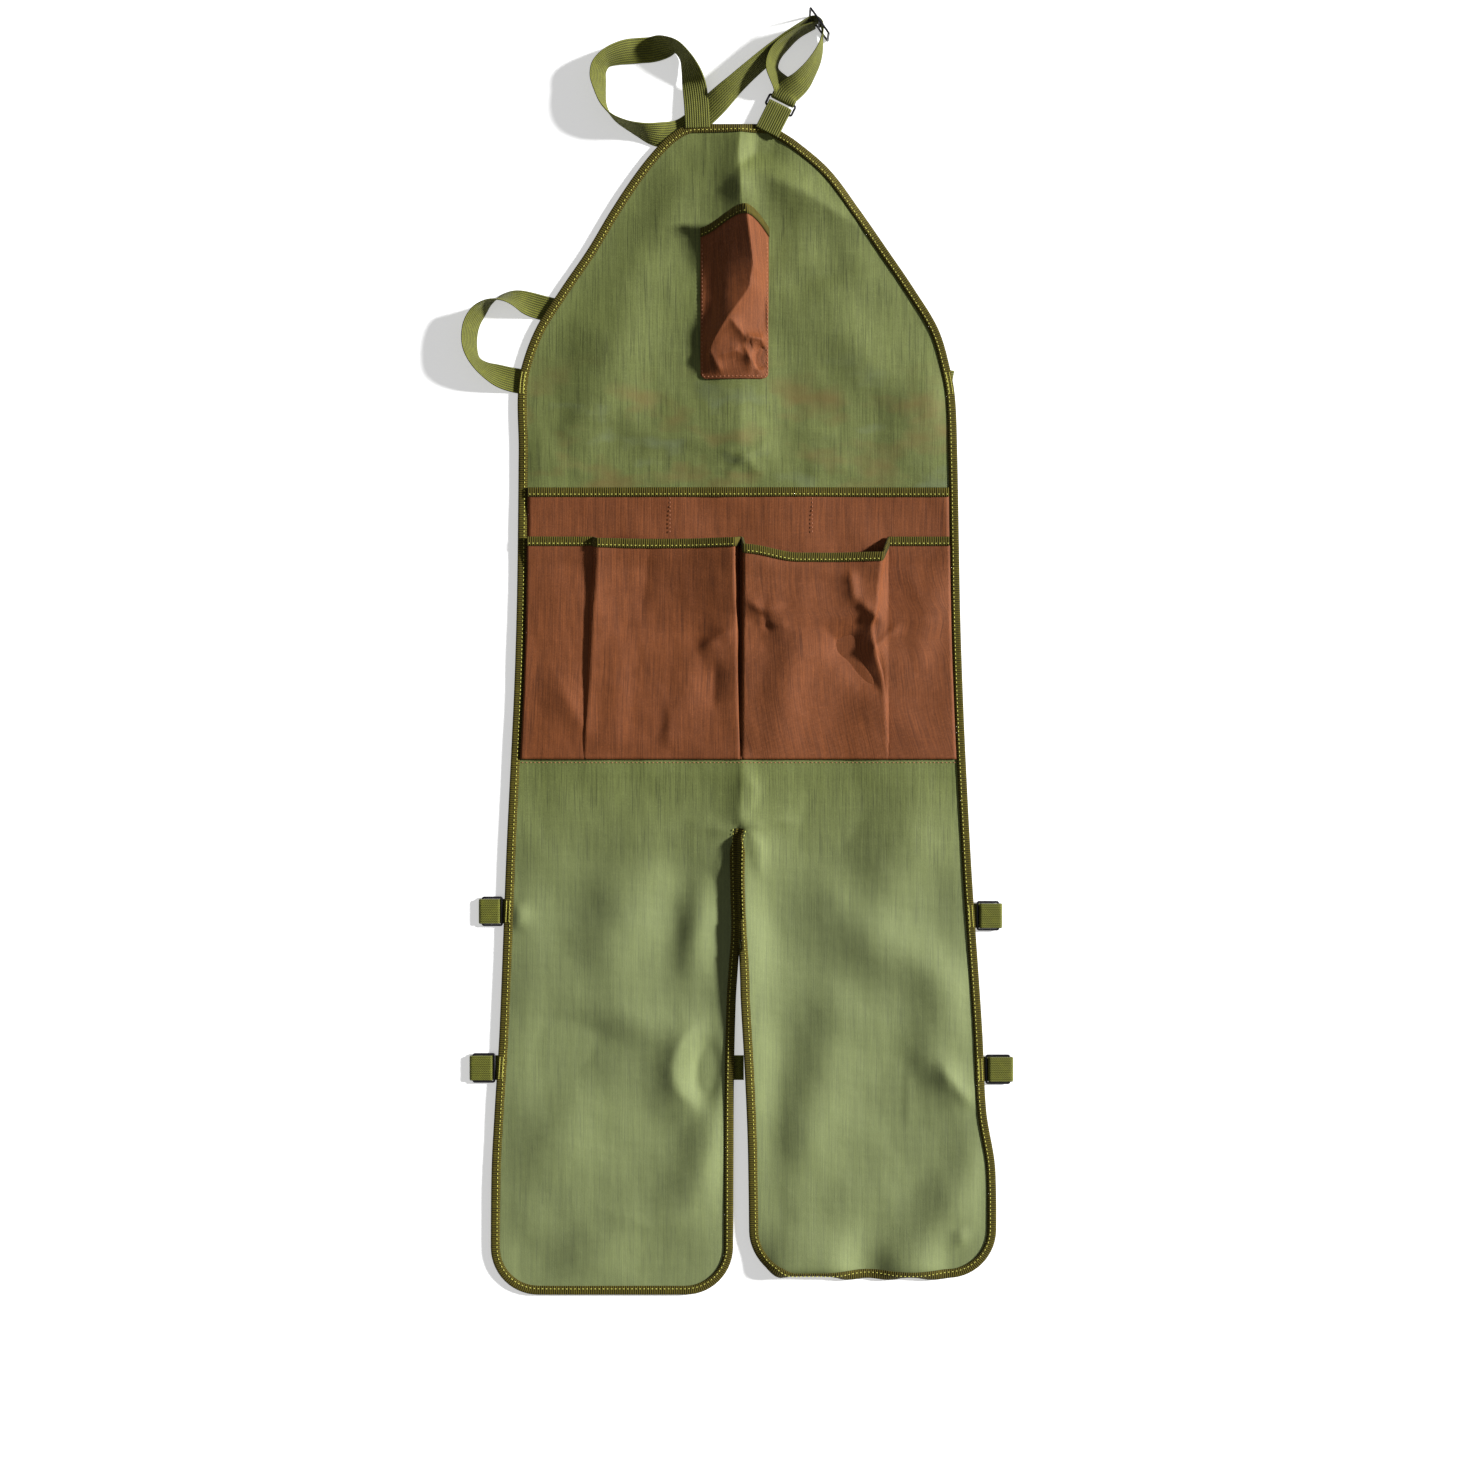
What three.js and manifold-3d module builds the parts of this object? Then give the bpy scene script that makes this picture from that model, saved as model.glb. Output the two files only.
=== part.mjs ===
// Gardening apron, lying face up on a flat surface with its straps around it.
// Millimetres. X runs to the right across the front, Y from the legs to the neck, Z up from the surface.

import * as THREE from 'three';
import { mergeVertices } from 'three/addons/utils/BufferGeometryUtils.js';
import Module from 'manifold-3d';

const wasm = await Module();
wasm.setup();

// Driving dimensions of the cloth body
const APRON_LENGTH = 1180;
const HALF_WIDTH = 255;
const SLIT_TOP_SHARE = 0.603;
const SLIT_GAPE = 18;
const RIGHT_LEG_SHORTER = 17;
const HEM_CORNER_RADIUS = 48;
const FOLD_HEIGHT = 5;
const FOLD_FADE = 36;

// Cloth, tape and webbing
const PANEL_WALL = 1.2;
const POCKET_WALL = 1;
const BINDING_WIDTH = 9.3;
const BINDING_WALL = 0.7;
const WEBBING_WIDTH = 25;
const WEBBING_WALL = 1.6;
const LAYER_GAP = 0.3;
const TAPE_EDGE_GAP = 0.8;
const TAPE_EASE = 0.1;

// Pockets
const POCKET_HALF_WIDTH = 213;
const BACK_POCKET_TOP_SHARE = 0.3115;
const FRONT_POCKET_TOP_SHARE = 0.3535;
const POCKET_FOOT_SHARE = 0.5425;
const POCKET_RISE = 18;
const MOUTH_DROOP = 17;
const MOUTH_EASE = 24;
const CHEST_POCKET_WIDTH = 68;
const CHEST_POCKET_LENGTH = 151;
const CHEST_POCKET_LEFT = -39;
const CHEST_POCKET_FOOT_SHARE = 0.2185;
const CHEST_POCKET_RISE = 25;

// Straps and hardware
const NECK_RISE = 111;
const NECK_SPREAD = 240;
const NECK_TAB_LENGTH = 26;
const WAIST_LOOP_WIDTH = 86;
const WAIST_LOOP_HEIGHT = 93;
const LEG_TAB_REACH = 25;
const FRAME_WALL = 2;
const FRAME_BAR = 2.2;
const RING_LENGTH = 31;
const RING_SLOT = 8.4;
const SLIDER_LENGTH = 33;

const BIB_TOP = (APRON_LENGTH - NECK_RISE) / 2;
const SLIT_TOP = BIB_TOP - SLIT_TOP_SHARE * APRON_LENGTH;

// Heights of the layers above the surface
const TAPE_UNDERSIDE = WEBBING_WALL + LAYER_GAP;
const PANEL_BASE = TAPE_UNDERSIDE + BINDING_WALL + LAYER_GAP + PANEL_WALL / 2;
const PANEL_TOP = PANEL_BASE + PANEL_WALL / 2;
const TAPE_TOP = PANEL_TOP + LAYER_GAP + BINDING_WALL;
const TAPE_ROOM = BINDING_WALL + LAYER_GAP + TAPE_EASE;
const BACK_POCKET_LEVEL = PANEL_TOP + LAYER_GAP + POCKET_WALL / 2;
const FRONT_POCKET_LEVEL = BACK_POCKET_LEVEL + POCKET_WALL + LAYER_GAP;
const PANEL_INSET = BINDING_WALL + TAPE_EDGE_GAP;
const POCKET_INSET = BINDING_WIDTH + LAYER_GAP + TAPE_EASE;

// Outer edges: distance down from the bib's top as a share of the apron's length, and each edge's
// distance from the centre line as a share of the half width
const OUTLINE = [
  { down: 0, left: 0.196, right: 0.121 },
  { down: 0.004, left: 0.24, right: 0.149 },
  { down: 0.0145, left: 0.303, right: 0.224 },
  { down: 0.0385, left: 0.398, right: 0.354 },
  { down: 0.0727, left: 0.505, right: 0.473 },
  { down: 0.107, left: 0.6, right: 0.584 },
  { down: 0.141, left: 0.707, right: 0.691 },
  { down: 0.175, left: 0.806, right: 0.786 },
  { down: 0.21, left: 0.865, right: 0.834 },
  { down: 0.235, left: 0.877, right: 0.853 },
  { down: 0.278, left: 0.873, right: 0.861 },
  { down: 0.449, left: 0.885, right: 0.877 },
  { down: 0.62, left: 0.921, right: 0.913 },
  { down: 0.774, left: 0.9485, right: 0.96 },
  { down: 0.843, left: 0.968, right: 0.976 },
  { down: 0.894, left: 0.98, right: 1.012 },
  { down: 1, left: 0.984, right: 1.012 },
];

// Edges of the slit: distance from the centre line as a share of the gape, outwards
const SLIT = [
  { down: 0.603, left: 0, right: 0 },
  { down: 0.61, left: 0.22, right: 0.02 },
  { down: 0.62, left: 0.6, right: -0.08 },
  { down: 0.689, left: 0.58, right: 0 },
  { down: 0.7485, left: 0.36, right: 0.085 },
  { down: 0.8126, left: 0.305, right: 0.305 },
  { down: 0.877, left: 0.33, right: 0.47 },
  { down: 1, left: 0.36, right: 0.57 },
];

// Raised folds of the cloth: middle (share of half width, share of length), heading in degrees,
// half length and half width as shares of the half width, and height as a share of the fold height
const FOLDS = [
  { across: 0.02, down: 0.045, heading: 90, long: 0.17, wide: 0.075, high: 0.8 },
  { across: 0.24, down: 0.062, heading: -25, long: 0.28, wide: 0.09, high: 0.8 },
  { across: 0.33, down: 0.145, heading: 12, long: 0.25, wide: 0.1, high: 0.6 },
  { across: -0.45, down: 0.2, heading: 60, long: 0.3, wide: 0.2, high: 0.5 },
  { across: 0.02, down: 0.245, heading: 90, long: 0.25, wide: 0.12, high: 0.5 },
  { across: -0.22, down: 0.8, heading: 80, long: 0.14, wide: 0.08, high: 1 },
  { across: -0.45, down: 0.66, heading: 75, long: 0.35, wide: 0.2, high: 0.6 },
  { across: -0.6, down: 0.9, heading: 20, long: 0.3, wide: 0.18, high: 0.7 },
  { across: 0.55, down: 0.7, heading: -34, long: 0.35, wide: 0.12, high: 1 },
  { across: 0.25, down: 0.87, heading: 85, long: 0.35, wide: 0.12, high: 0.9 },
  { across: 0.8, down: 0.81, heading: -50, long: 0.14, wide: 0.07, high: 0.8 },
];

// Raised middle pockets: their seams as shares of the pocket half width, how far each crest stands in
// from its seam and how high it is as shares of the rise, the sag between, and the mouth's droop
const BELLOWS = [
  {
    left: -0.735, right: 0, leftLean: 0.95, rightLean: 0.3,
    leftRise: 0.95, rightRise: 0.9, sag: 0.25, droop: 0.15,
  },
  {
    left: 0.026, right: 0.703, leftLean: 0.6, rightLean: 0.35,
    leftRise: 1.1, rightRise: 1, sag: 0.12, droop: 1,
  },
];

// How much of the rise is left further down the pocket
const BELLOWS_FADE = [
  { down: 0, rise: 1 },
  { down: 0.22, rise: 0.92 },
  { down: 0.42, rise: 0.58 },
  { down: 0.52, rise: 0.6 },
  { down: 0.8, rise: 0.32 },
  { down: 1, rise: 0 },
];

// Ridge of the chest pocket: where it stands across the width and its height as a share of the rise
const CHEST_RIDGE = [
  { down: 0, across: 0.67, high: 1 },
  { down: 0.25, across: 0.76, high: 0.86 },
  { down: 0.45, across: 0.72, high: 0.68 },
  { down: 0.62, across: 0.5, high: 0.45 },
  { down: 0.82, across: 0.3, high: 0.22 },
  { down: 1, across: 0.3, high: 0 },
];

// Neck strap, from its sewn left end to the slider's middle bar: place across as a share of the spread
// and above the bib as a share of the rise, height of the lower edge in webbing widths, plan heading of
// the strap's width and its tilt in degrees
const NECK_ROUTE = [
  { across: -0.176, up: -0.05, low: 0.22, heading: 0, tilt: 0 },
  { across: -0.178, up: 0.06, low: 0.22, heading: 0, tilt: 0 },
  { across: -0.181, up: 0.177, low: 0.2, heading: 2, tilt: 0 },
  { across: -0.189, up: 0.33, low: 0.14, heading: 8, tilt: 12 },
  { across: -0.204, up: 0.468, low: 0.05, heading: 20, tilt: 42 },
  { across: -0.232, up: 0.604, low: 0.01, heading: 38, tilt: 70 },
  { across: -0.27, up: 0.688, low: 0, heading: 68, tilt: 76 },
  { across: -0.317, up: 0.69, low: 0, heading: 88, tilt: 42 },
  { across: -0.37, up: 0.676, low: 0, heading: 93, tilt: 10 },
  { across: -0.435, up: 0.664, low: 0, heading: 97, tilt: 14 },
  { across: -0.503, up: 0.632, low: 0, heading: 108, tilt: 42 },
  { across: -0.561, up: 0.577, low: 0, heading: 128, tilt: 60 },
  { across: -0.59, up: 0.496, low: 0, heading: 160, tilt: 54 },
  { across: -0.593, up: 0.396, low: 0, heading: 182, tilt: 50 },
  { across: -0.585, up: 0.277, low: 0, heading: 193, tilt: 64 },
  { across: -0.57, up: 0.159, low: 0, heading: 212, tilt: 76 },
  { across: -0.532, up: 0.05, low: 0, heading: 230, tilt: 86 },
  { across: -0.469, up: -0.03, low: 0, heading: 243, tilt: 112 },
  { across: -0.418, up: -0.07, low: 0, heading: 252, tilt: 150 },
  { across: -0.372, up: -0.095, low: 0, heading: 260, tilt: 180 },
  { across: -0.317, up: -0.1, low: 0, heading: 272, tilt: 180 },
  { across: -0.25, up: -0.065, low: 0, heading: 294, tilt: 180 },
  { across: -0.187, up: 0.02, low: 0, heading: 309, tilt: 180 },
  { across: -0.137, up: 0.115, low: 0, heading: 313, tilt: 178 },
  { across: -0.075, up: 0.235, low: 0, heading: 313, tilt: 150 },
  { across: -0.02, up: 0.345, low: 0, heading: 311, tilt: 132 },
  { across: 0.048, up: 0.477, low: 0, heading: 310, tilt: 125 },
  { across: 0.128, up: 0.623, low: 0, heading: 310, tilt: 121 },
  { across: 0.204, up: 0.755, low: 0.04, heading: 308, tilt: 112 },
  { across: 0.263, up: 0.86, low: 0.1, heading: 302, tilt: 98 },
];

// The outer strand after the slider, down to the ring
const NECK_OUTER_STRAND = [
  { across: 0.3435, up: 0.715, low: 0.08, heading: 172, tilt: 84 },
  { across: 0.326, up: 0.595, low: 0.03, heading: 158, tilt: 70 },
  { across: 0.292, up: 0.468, low: 0, heading: 150, tilt: 56 },
  { across: 0.253, up: 0.36, low: 0.08, heading: 149, tilt: 36 },
];

// The inner strand from the ring back up to the slider
const NECK_INNER_STRAND = [
  { across: 0.187, up: 0.322, low: 0.01, heading: 172, tilt: 24 },
  { across: 0.158, up: 0.405, low: 0.01, heading: 192, tilt: 44 },
  { across: 0.135, up: 0.496, low: 0, heading: 178, tilt: 58 },
  { across: 0.147, up: 0.605, low: 0, heading: 150, tilt: 62 },
  { across: 0.187, up: 0.71, low: 0, heading: 140, tilt: 66 },
  { across: 0.242, up: 0.8, low: 0.06, heading: 128, tilt: 78 },
];

// Ring and slider: middle as shares of the strap's spread and rise, and plan heading in degrees
const RING_PLACE = { across: 0.1724, up: 0.168, heading: -26.6 };
const SLIDER_PLACE = { across: 0.333, up: 0.874, heading: -54 };

// Visible loop of the waist strap: place as shares of the loop's width and height, measured from the
// sewn end on the left edge
const WAIST_ROUTE = [
  { across: 0.15, up: -0.02, low: 0, heading: 88, tilt: 0 },
  { across: -0.012, up: 0, low: 0, heading: 82, tilt: 0 },
  { across: -0.188, up: 0.038, low: 0, heading: 74, tilt: -16 },
  { across: -0.365, up: 0.105, low: 0, heading: 60, tilt: -48 },
  { across: -0.5, up: 0.21, low: 0, heading: 32, tilt: -66 },
  { across: -0.553, up: 0.34, low: 0, heading: 8, tilt: -58 },
  { across: -0.559, up: 0.482, low: 0, heading: -2, tilt: -55 },
  { across: -0.53, up: 0.612, low: 0, heading: -18, tilt: -55 },
  { across: -0.447, up: 0.737, low: 0, heading: -42, tilt: -60 },
  { across: -0.324, up: 0.835, low: 0, heading: -60, tilt: -74 },
  { across: -0.182, up: 0.878, low: 0, heading: -82, tilt: -80 },
  { across: -0.035, up: 0.878, low: 0, heading: -98, tilt: -64 },
  { across: 0.118, up: 0.835, low: 0, heading: -107, tilt: -30 },
  { across: 0.235, up: 0.805, low: 0, heading: -105, tilt: 0 },
  { across: 0.4, up: 0.765, low: 0, heading: -103, tilt: 0 },
];
const WAIST_END = { across: 0.858, down: 0.2215 };
const WAIST_SEAM = { across: -0.8765, down: 0.219 };

// Leg straps: side, place down the length, the fold's reach past the leg as a share of the tab reach,
// and the inner end's distance from the centre line towards the other leg as a share of the gape
const LEG_STRAPS = [
  { name: 'left_upper', side: -1, down: 0.6725, reach: 0.99, inner: 0.14 },
  { name: 'left_lower', side: -1, down: 0.8063, reach: 1.06, inner: -0.24 },
  { name: 'right_upper', side: 1, down: 0.6763, reach: 1.05, inner: 0.13 },
  { name: 'right_lower', side: 1, down: 0.8075, reach: 1.14, inner: 0.46 },
];

const greenCloth = { color: 0x78874f, roughness: 0.95, metalness: 0 };
const brownCloth = { color: 0x784830, roughness: 0.95, metalness: 0 };
const oliveTape = { color: 0x5c6428, roughness: 0.85, metalness: 0 };
const oliveWebbing = { color: 0x6a7030, roughness: 0.8, metalness: 0 };
const blackPlastic = { color: 0x1a161a, roughness: 0.4, metalness: 0 };

const apron = new THREE.Group();

function addPart(name, geometry, finish) {
  const mesh = new THREE.Mesh(geometry, new THREE.MeshStandardMaterial(finish));
  mesh.name = name;
  apron.add(mesh);
}

const radians = THREE.MathUtils.degToRad;

function ease(value, low, high) {
  return THREE.MathUtils.smoothstep(value, low, high);
}

// Value of a table's column at a place along its key column, on a smooth curve through the rows
function along(table, key, column, at) {
  const last = table.length - 1;
  let row = 0;
  while (row < last - 1 && at > table[row + 1][key]) {
    row += 1;
  }
  const slope = (index) => {
    const before = table[Math.max(index - 1, 0)];
    const after = table[Math.min(index + 1, last)];
    return (after[column] - before[column]) / (after[key] - before[key]);
  };
  const span = table[row + 1][key] - table[row][key];
  const t = THREE.MathUtils.clamp((at - table[row][key]) / span, 0, 1);
  const blend = t * t * (3 - 2 * t);
  const start = span * slope(row) * t * (1 - t) * (1 - t);
  const end = span * slope(row + 1) * t * t * (t - 1);
  return table[row][column] * (1 - blend) + table[row + 1][column] * blend + start + end;
}

// Closed geometry with shared vertices and its faces pointing out
function closed(geometry) {
  geometry.deleteAttribute('normal');
  geometry.deleteAttribute('uv');
  const merged = mergeVertices(geometry, 1e-4);
  const corner = [0, 1, 2].map(() => new THREE.Vector3());
  let volume = 0;
  for (let i = 0; i < merged.index.count; i += 3) {
    corner.forEach((point, k) => {
      point.fromBufferAttribute(merged.attributes.position, merged.index.getX(i + k));
    });
    volume += corner[0].dot(corner[1].cross(corner[2]));
  }
  if (volume < 0) {
    const indices = Array.from(merged.index.array);
    for (let i = 0; i < indices.length; i += 3) {
      [indices[i], indices[i + 1]] = [indices[i + 1], indices[i]];
    }
    merged.setIndex(indices);
  }
  merged.computeVertexNormals();
  return merged;
}

// The same closed geometry as a solid that can be joined and cut
function solid(geometry) {
  return new wasm.Manifold(new wasm.Mesh({
    numProp: 3,
    vertProperties: new Float32Array(geometry.attributes.position.array),
    triVerts: new Uint32Array(geometry.index.array),
  }));
}

function geometryOf(body) {
  const mesh = body.getMesh();
  const geometry = new THREE.BufferGeometry();
  geometry.setAttribute('position', new THREE.BufferAttribute(new Float32Array(mesh.vertProperties), 3));
  geometry.setIndex(Array.from(mesh.triVerts));
  geometry.computeVertexNormals();
  return geometry;
}

// A wall of cloth: a box whose columns and rows are carried onto a surface, half a wall to each side
function clothWall(columnCount, rowShares, pointAt, normalAt, wall) {
  const lastColumn = columnCount - 1;
  const lastRow = rowShares.length - 1;
  const geometry = new THREE.BoxGeometry(1, 1, 1, lastColumn, lastRow, 1);
  const position = geometry.attributes.position;
  for (let i = 0; i < position.count; i += 1) {
    const column = Math.round((position.getX(i) + 0.5) * lastColumn);
    const row = rowShares[Math.round((0.5 - position.getY(i)) * lastRow)];
    const point = pointAt(column, row).addScaledVector(normalAt(column, row), position.getZ(i) * wall);
    position.setXYZ(i, point.x, point.y, point.z);
  }
  return closed(geometry);
}

// A flat section carried along numbered stations by a rule that places each of its points
function carried(section, stationCount, place) {
  const steps = stationCount - 1;
  const geometry = new THREE.ExtrudeGeometry(section, { depth: steps, steps, bevelEnabled: false });
  const position = geometry.attributes.position;
  for (let i = 0; i < position.count; i += 1) {
    const point = place(Math.round(position.getZ(i)), position.getX(i), position.getY(i));
    position.setXYZ(i, point.x, point.y, point.z);
  }
  return closed(geometry);
}

function rectangle(width, height) {
  const shape = new THREE.Shape();
  shape.moveTo(-width / 2, -height / 2);
  shape.lineTo(width / 2, -height / 2);
  shape.lineTo(width / 2, height / 2);
  shape.lineTo(-width / 2, height / 2);
  return shape;
}

// Section of a binding tape folded over an edge: X runs in from the fold, Y through the cloth
function tapeSection(thickness, gap) {
  const inside = thickness / 2 + gap;
  const outside = inside + BINDING_WALL;
  const shape = new THREE.Shape();
  shape.moveTo(0, -outside);
  shape.lineTo(BINDING_WIDTH, -outside);
  shape.lineTo(BINDING_WIDTH, -inside);
  shape.lineTo(BINDING_WALL, -inside);
  shape.lineTo(BINDING_WALL, inside);
  shape.lineTo(BINDING_WIDTH, inside);
  shape.lineTo(BINDING_WIDTH, outside);
  shape.lineTo(0, outside);
  return shape;
}

function downShare(y) {
  return (BIB_TOP - y) / APRON_LENGTH;
}

function hemLevel(side) {
  return BIB_TOP - APRON_LENGTH + (side > 0 ? RIGHT_LEG_SHORTER : 0);
}

// How far a hem's rounded corner draws an edge in at a height, for an edge that is already set in
function cornerDraw(side, y, inset) {
  const radius = HEM_CORNER_RADIUS - inset;
  const above = Math.max(hemLevel(side) + HEM_CORNER_RADIUS - y, 0);
  return radius - Math.sqrt(Math.max(radius * radius - above * above, 0));
}

function outerEdge(side, y, inset) {
  const column = side < 0 ? 'left' : 'right';
  const at = (level) => HALF_WIDTH * along(OUTLINE, 'down', column, downShare(level));
  const slope = (at(y - 2) - at(y + 2)) / 4;
  return side * (at(y) - inset * Math.hypot(1, slope) - cornerDraw(side, y, inset));
}

function innerEdge(side, y, inset) {
  const column = side < 0 ? 'left' : 'right';
  const open = SLIT_GAPE * along(SLIT, 'down', column, downShare(y));
  const started = ease(SLIT_TOP - y, 0, 0.9 * BINDING_WIDTH);
  return side * (open + inset * started + cornerDraw(side, y, inset));
}

// Distance in from the nearest edge of the cloth
function edgeDistance(x, y) {
  const side = x < 0 ? -1 : 1;
  const slit = y > SLIT_TOP ? Math.hypot(x, y - SLIT_TOP) : (x - innerEdge(side, y, 0)) * side;
  const lean = (outerEdge(side, y - 2, 0) - outerEdge(side, y + 2, 0)) / 4;
  const outer = (outerEdge(side, y, 0) - x) * side / Math.hypot(1, lean);
  return Math.min(slit, outer, BIB_TOP - y, y - hemLevel(side));
}

// Height of the cloth's folds, which die out towards the edges
function relief(x, y) {
  const free = ease(edgeDistance(x, y), BINDING_WIDTH, BINDING_WIDTH + FOLD_FADE);
  let height = 0;
  for (const fold of FOLDS) {
    const dx = x - fold.across * HALF_WIDTH;
    const dy = y - (BIB_TOP - fold.down * APRON_LENGTH);
    const heading = radians(fold.heading);
    const lengthways = (dx * Math.cos(heading) + dy * Math.sin(heading)) / (fold.long * HALF_WIDTH);
    const crossways = (dy * Math.cos(heading) - dx * Math.sin(heading)) / (fold.wide * HALF_WIDTH);
    height += fold.high * Math.exp(-lengthways * lengthways - crossways * crossways);
  }
  return FOLD_HEIGHT * height * free;
}

const upright = () => new THREE.Vector3(0, 0, 1);

// Levels down the body, closer together at the rounded top
const BODY_ROWS = 28;
const bodyShares = Array.from({ length: BODY_ROWS + 1 }, (_, k) => (k / BODY_ROWS) ** 1.5);

function bodyLevel(share, inset) {
  return THREE.MathUtils.lerp(BIB_TOP - inset, SLIT_TOP, share);
}

// Levels down a leg: the start of the slit's tape, even steps, then even angles round the hem's corner
const LEG_ROWS = 12;
const CORNER_STEPS = 5;

function legLevels(side, inset) {
  const cornerStart = hemLevel(side) + HEM_CORNER_RADIUS;
  const levels = [SLIT_TOP, SLIT_TOP - BINDING_WIDTH];
  for (let k = 0; k <= LEG_ROWS; k += 1) {
    levels.push(THREE.MathUtils.lerp(SLIT_TOP - 2 * BINDING_WIDTH, cornerStart, k / LEG_ROWS));
  }
  for (let k = 1; k <= CORNER_STEPS; k += 1) {
    levels.push(cornerStart - (HEM_CORNER_RADIUS - inset) * Math.sin(radians(90 * k / CORNER_STEPS)));
  }
  return levels;
}

// Columns across one half of the cloth, from the centre line out
const HALF_COLUMNS = [0, 0.1, 0.22, 0.35, 0.49, 0.64, 0.8, 0.94, 1];

function makePanel() {
  const lastHalf = HALF_COLUMNS.length - 1;
  const bodyPoint = (column, share) => {
    const y = bodyLevel(share, PANEL_INSET);
    const side = column < lastHalf ? -1 : 1;
    const x = outerEdge(side, y, PANEL_INSET) * HALF_COLUMNS[Math.abs(column - lastHalf)];
    return new THREE.Vector3(x, y, PANEL_BASE + relief(x, y));
  };
  const body = clothWall(2 * lastHalf + 1, bodyShares, bodyPoint, upright, PANEL_WALL);
  const legs = [-1, 1].map((side) => {
    const levels = legLevels(side, PANEL_INSET);
    const legPoint = (column, row) => {
      const y = levels[row];
      const share = side < 0 ? HALF_COLUMNS[lastHalf - column] : HALF_COLUMNS[column];
      const inner = innerEdge(side, y, PANEL_INSET);
      const x = THREE.MathUtils.lerp(inner, outerEdge(side, y, PANEL_INSET), share);
      return new THREE.Vector3(x, y, PANEL_BASE + relief(x, y));
    };
    return clothWall(lastHalf + 1, levels.map((_, row) => row), legPoint, upright, PANEL_WALL);
  });
  return geometryOf(legs.reduce((sum, leg) => sum.add(solid(leg)), solid(body)));
}

// The whole outline as one open path, from the left of the slit's top round to its right
function outlinePath() {
  const path = [];
  const edge = (side, levels, find) => {
    levels.forEach((y) => path.push(new THREE.Vector2(find(side, y, 0), y)));
  };
  const slit = (side) => legLevels(side, 0).slice(1);
  const body = bodyShares.map((share) => bodyLevel(share, 0)).slice(0, -1);
  edge(-1, slit(-1), innerEdge);
  edge(-1, legLevels(-1, 0).reverse(), outerEdge);
  edge(-1, [...body].reverse(), outerEdge);
  edge(1, body, outerEdge);
  edge(1, legLevels(1, 0), outerEdge);
  edge(1, slit(1).reverse(), innerEdge);
  return path;
}

function makeEdgeBinding() {
  const path = outlinePath();
  const last = path.length - 1;
  const inward = path.map((point, k) => {
    const before = point.clone().sub(path[Math.max(k - 1, 0)]).normalize();
    const after = path[Math.min(k + 1, last)].clone().sub(point).normalize();
    const direction = before.clone().add(after).normalize();
    const half = Math.max(direction.dot(k === 0 ? after : before), 0.5);
    return new THREE.Vector2(direction.y, -direction.x).divideScalar(half);
  });
  return carried(tapeSection(PANEL_WALL, LAYER_GAP), path.length, (k, depth, height) => new THREE.Vector3(
    path[k].x + inward[k].x * depth,
    path[k].y + inward[k].y * depth,
    PANEL_BASE + height,
  ));
}

// Normal of a surface given by column and row share, from its neighbours
function surfaceNormal(pointAt, lastColumn) {
  return (column, share) => {
    const across = pointAt(Math.min(column + 1, lastColumn), share)
      .sub(pointAt(Math.max(column - 1, 0), share));
    const up = pointAt(column, Math.max(share - 0.01, 0)).sub(pointAt(column, Math.min(share + 0.01, 1)));
    return across.cross(up).normalize();
  };
}

// A tape folded over the top edge of a pocket wall
function mouthBinding(columnCount, pointAt, depthAt, wall) {
  const normalAt = surfaceNormal(pointAt, columnCount - 1);
  const fold = BINDING_WALL + LAYER_GAP;
  return carried(tapeSection(wall, LAYER_GAP + TAPE_EASE), columnCount, (k, depth, through) => {
    const share = (depth - fold) / depthAt(k);
    const point = pointAt(k, Math.max(share, 0));
    if (share < 0) {
      const out = pointAt(k, 0).sub(pointAt(k, 0.02)).normalize();
      point.addScaledVector(out, -share * depthAt(k));
    }
    return point.addScaledVector(normalAt(k, Math.max(share, 0)), through);
  });
}

// Room for the tape's under side near a mouth
function mouthLift(depth) {
  return (TAPE_ROOM + TAPE_EASE) * (1 - ease(depth, BINDING_WIDTH, BINDING_WIDTH + MOUTH_EASE));
}

const BACK_POCKET_COLUMNS = 15;
const BACK_POCKET_ROWS = [0, 0.03, 0.08, 0.14, 0.28, 0.42, 0.56, 0.7, 0.85, 1];
const POCKET_FOOT = BIB_TOP - POCKET_FOOT_SHARE * APRON_LENGTH;

function backPocketDepth() {
  return (POCKET_FOOT_SHARE - BACK_POCKET_TOP_SHARE) * APRON_LENGTH;
}

function backPocketPoint(column, share) {
  const depth = share * backPocketDepth();
  const y = POCKET_FOOT + backPocketDepth() - depth;
  const from = outerEdge(-1, y, POCKET_INSET);
  const to = outerEdge(1, y, POCKET_INSET);
  const x = THREE.MathUtils.lerp(from, to, column / (BACK_POCKET_COLUMNS - 1));
  return new THREE.Vector3(x, y, BACK_POCKET_LEVEL + relief(x, y) + mouthLift(depth));
}

// Columns of the front pocket: flat cloth, and for each raised pocket its two walls and the top between
const WALL_STEPS = 4;
const TOP_STEPS = 6;
const FLAT_STEPS = 3;
const WALL_DROOP = 0.7;

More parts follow.
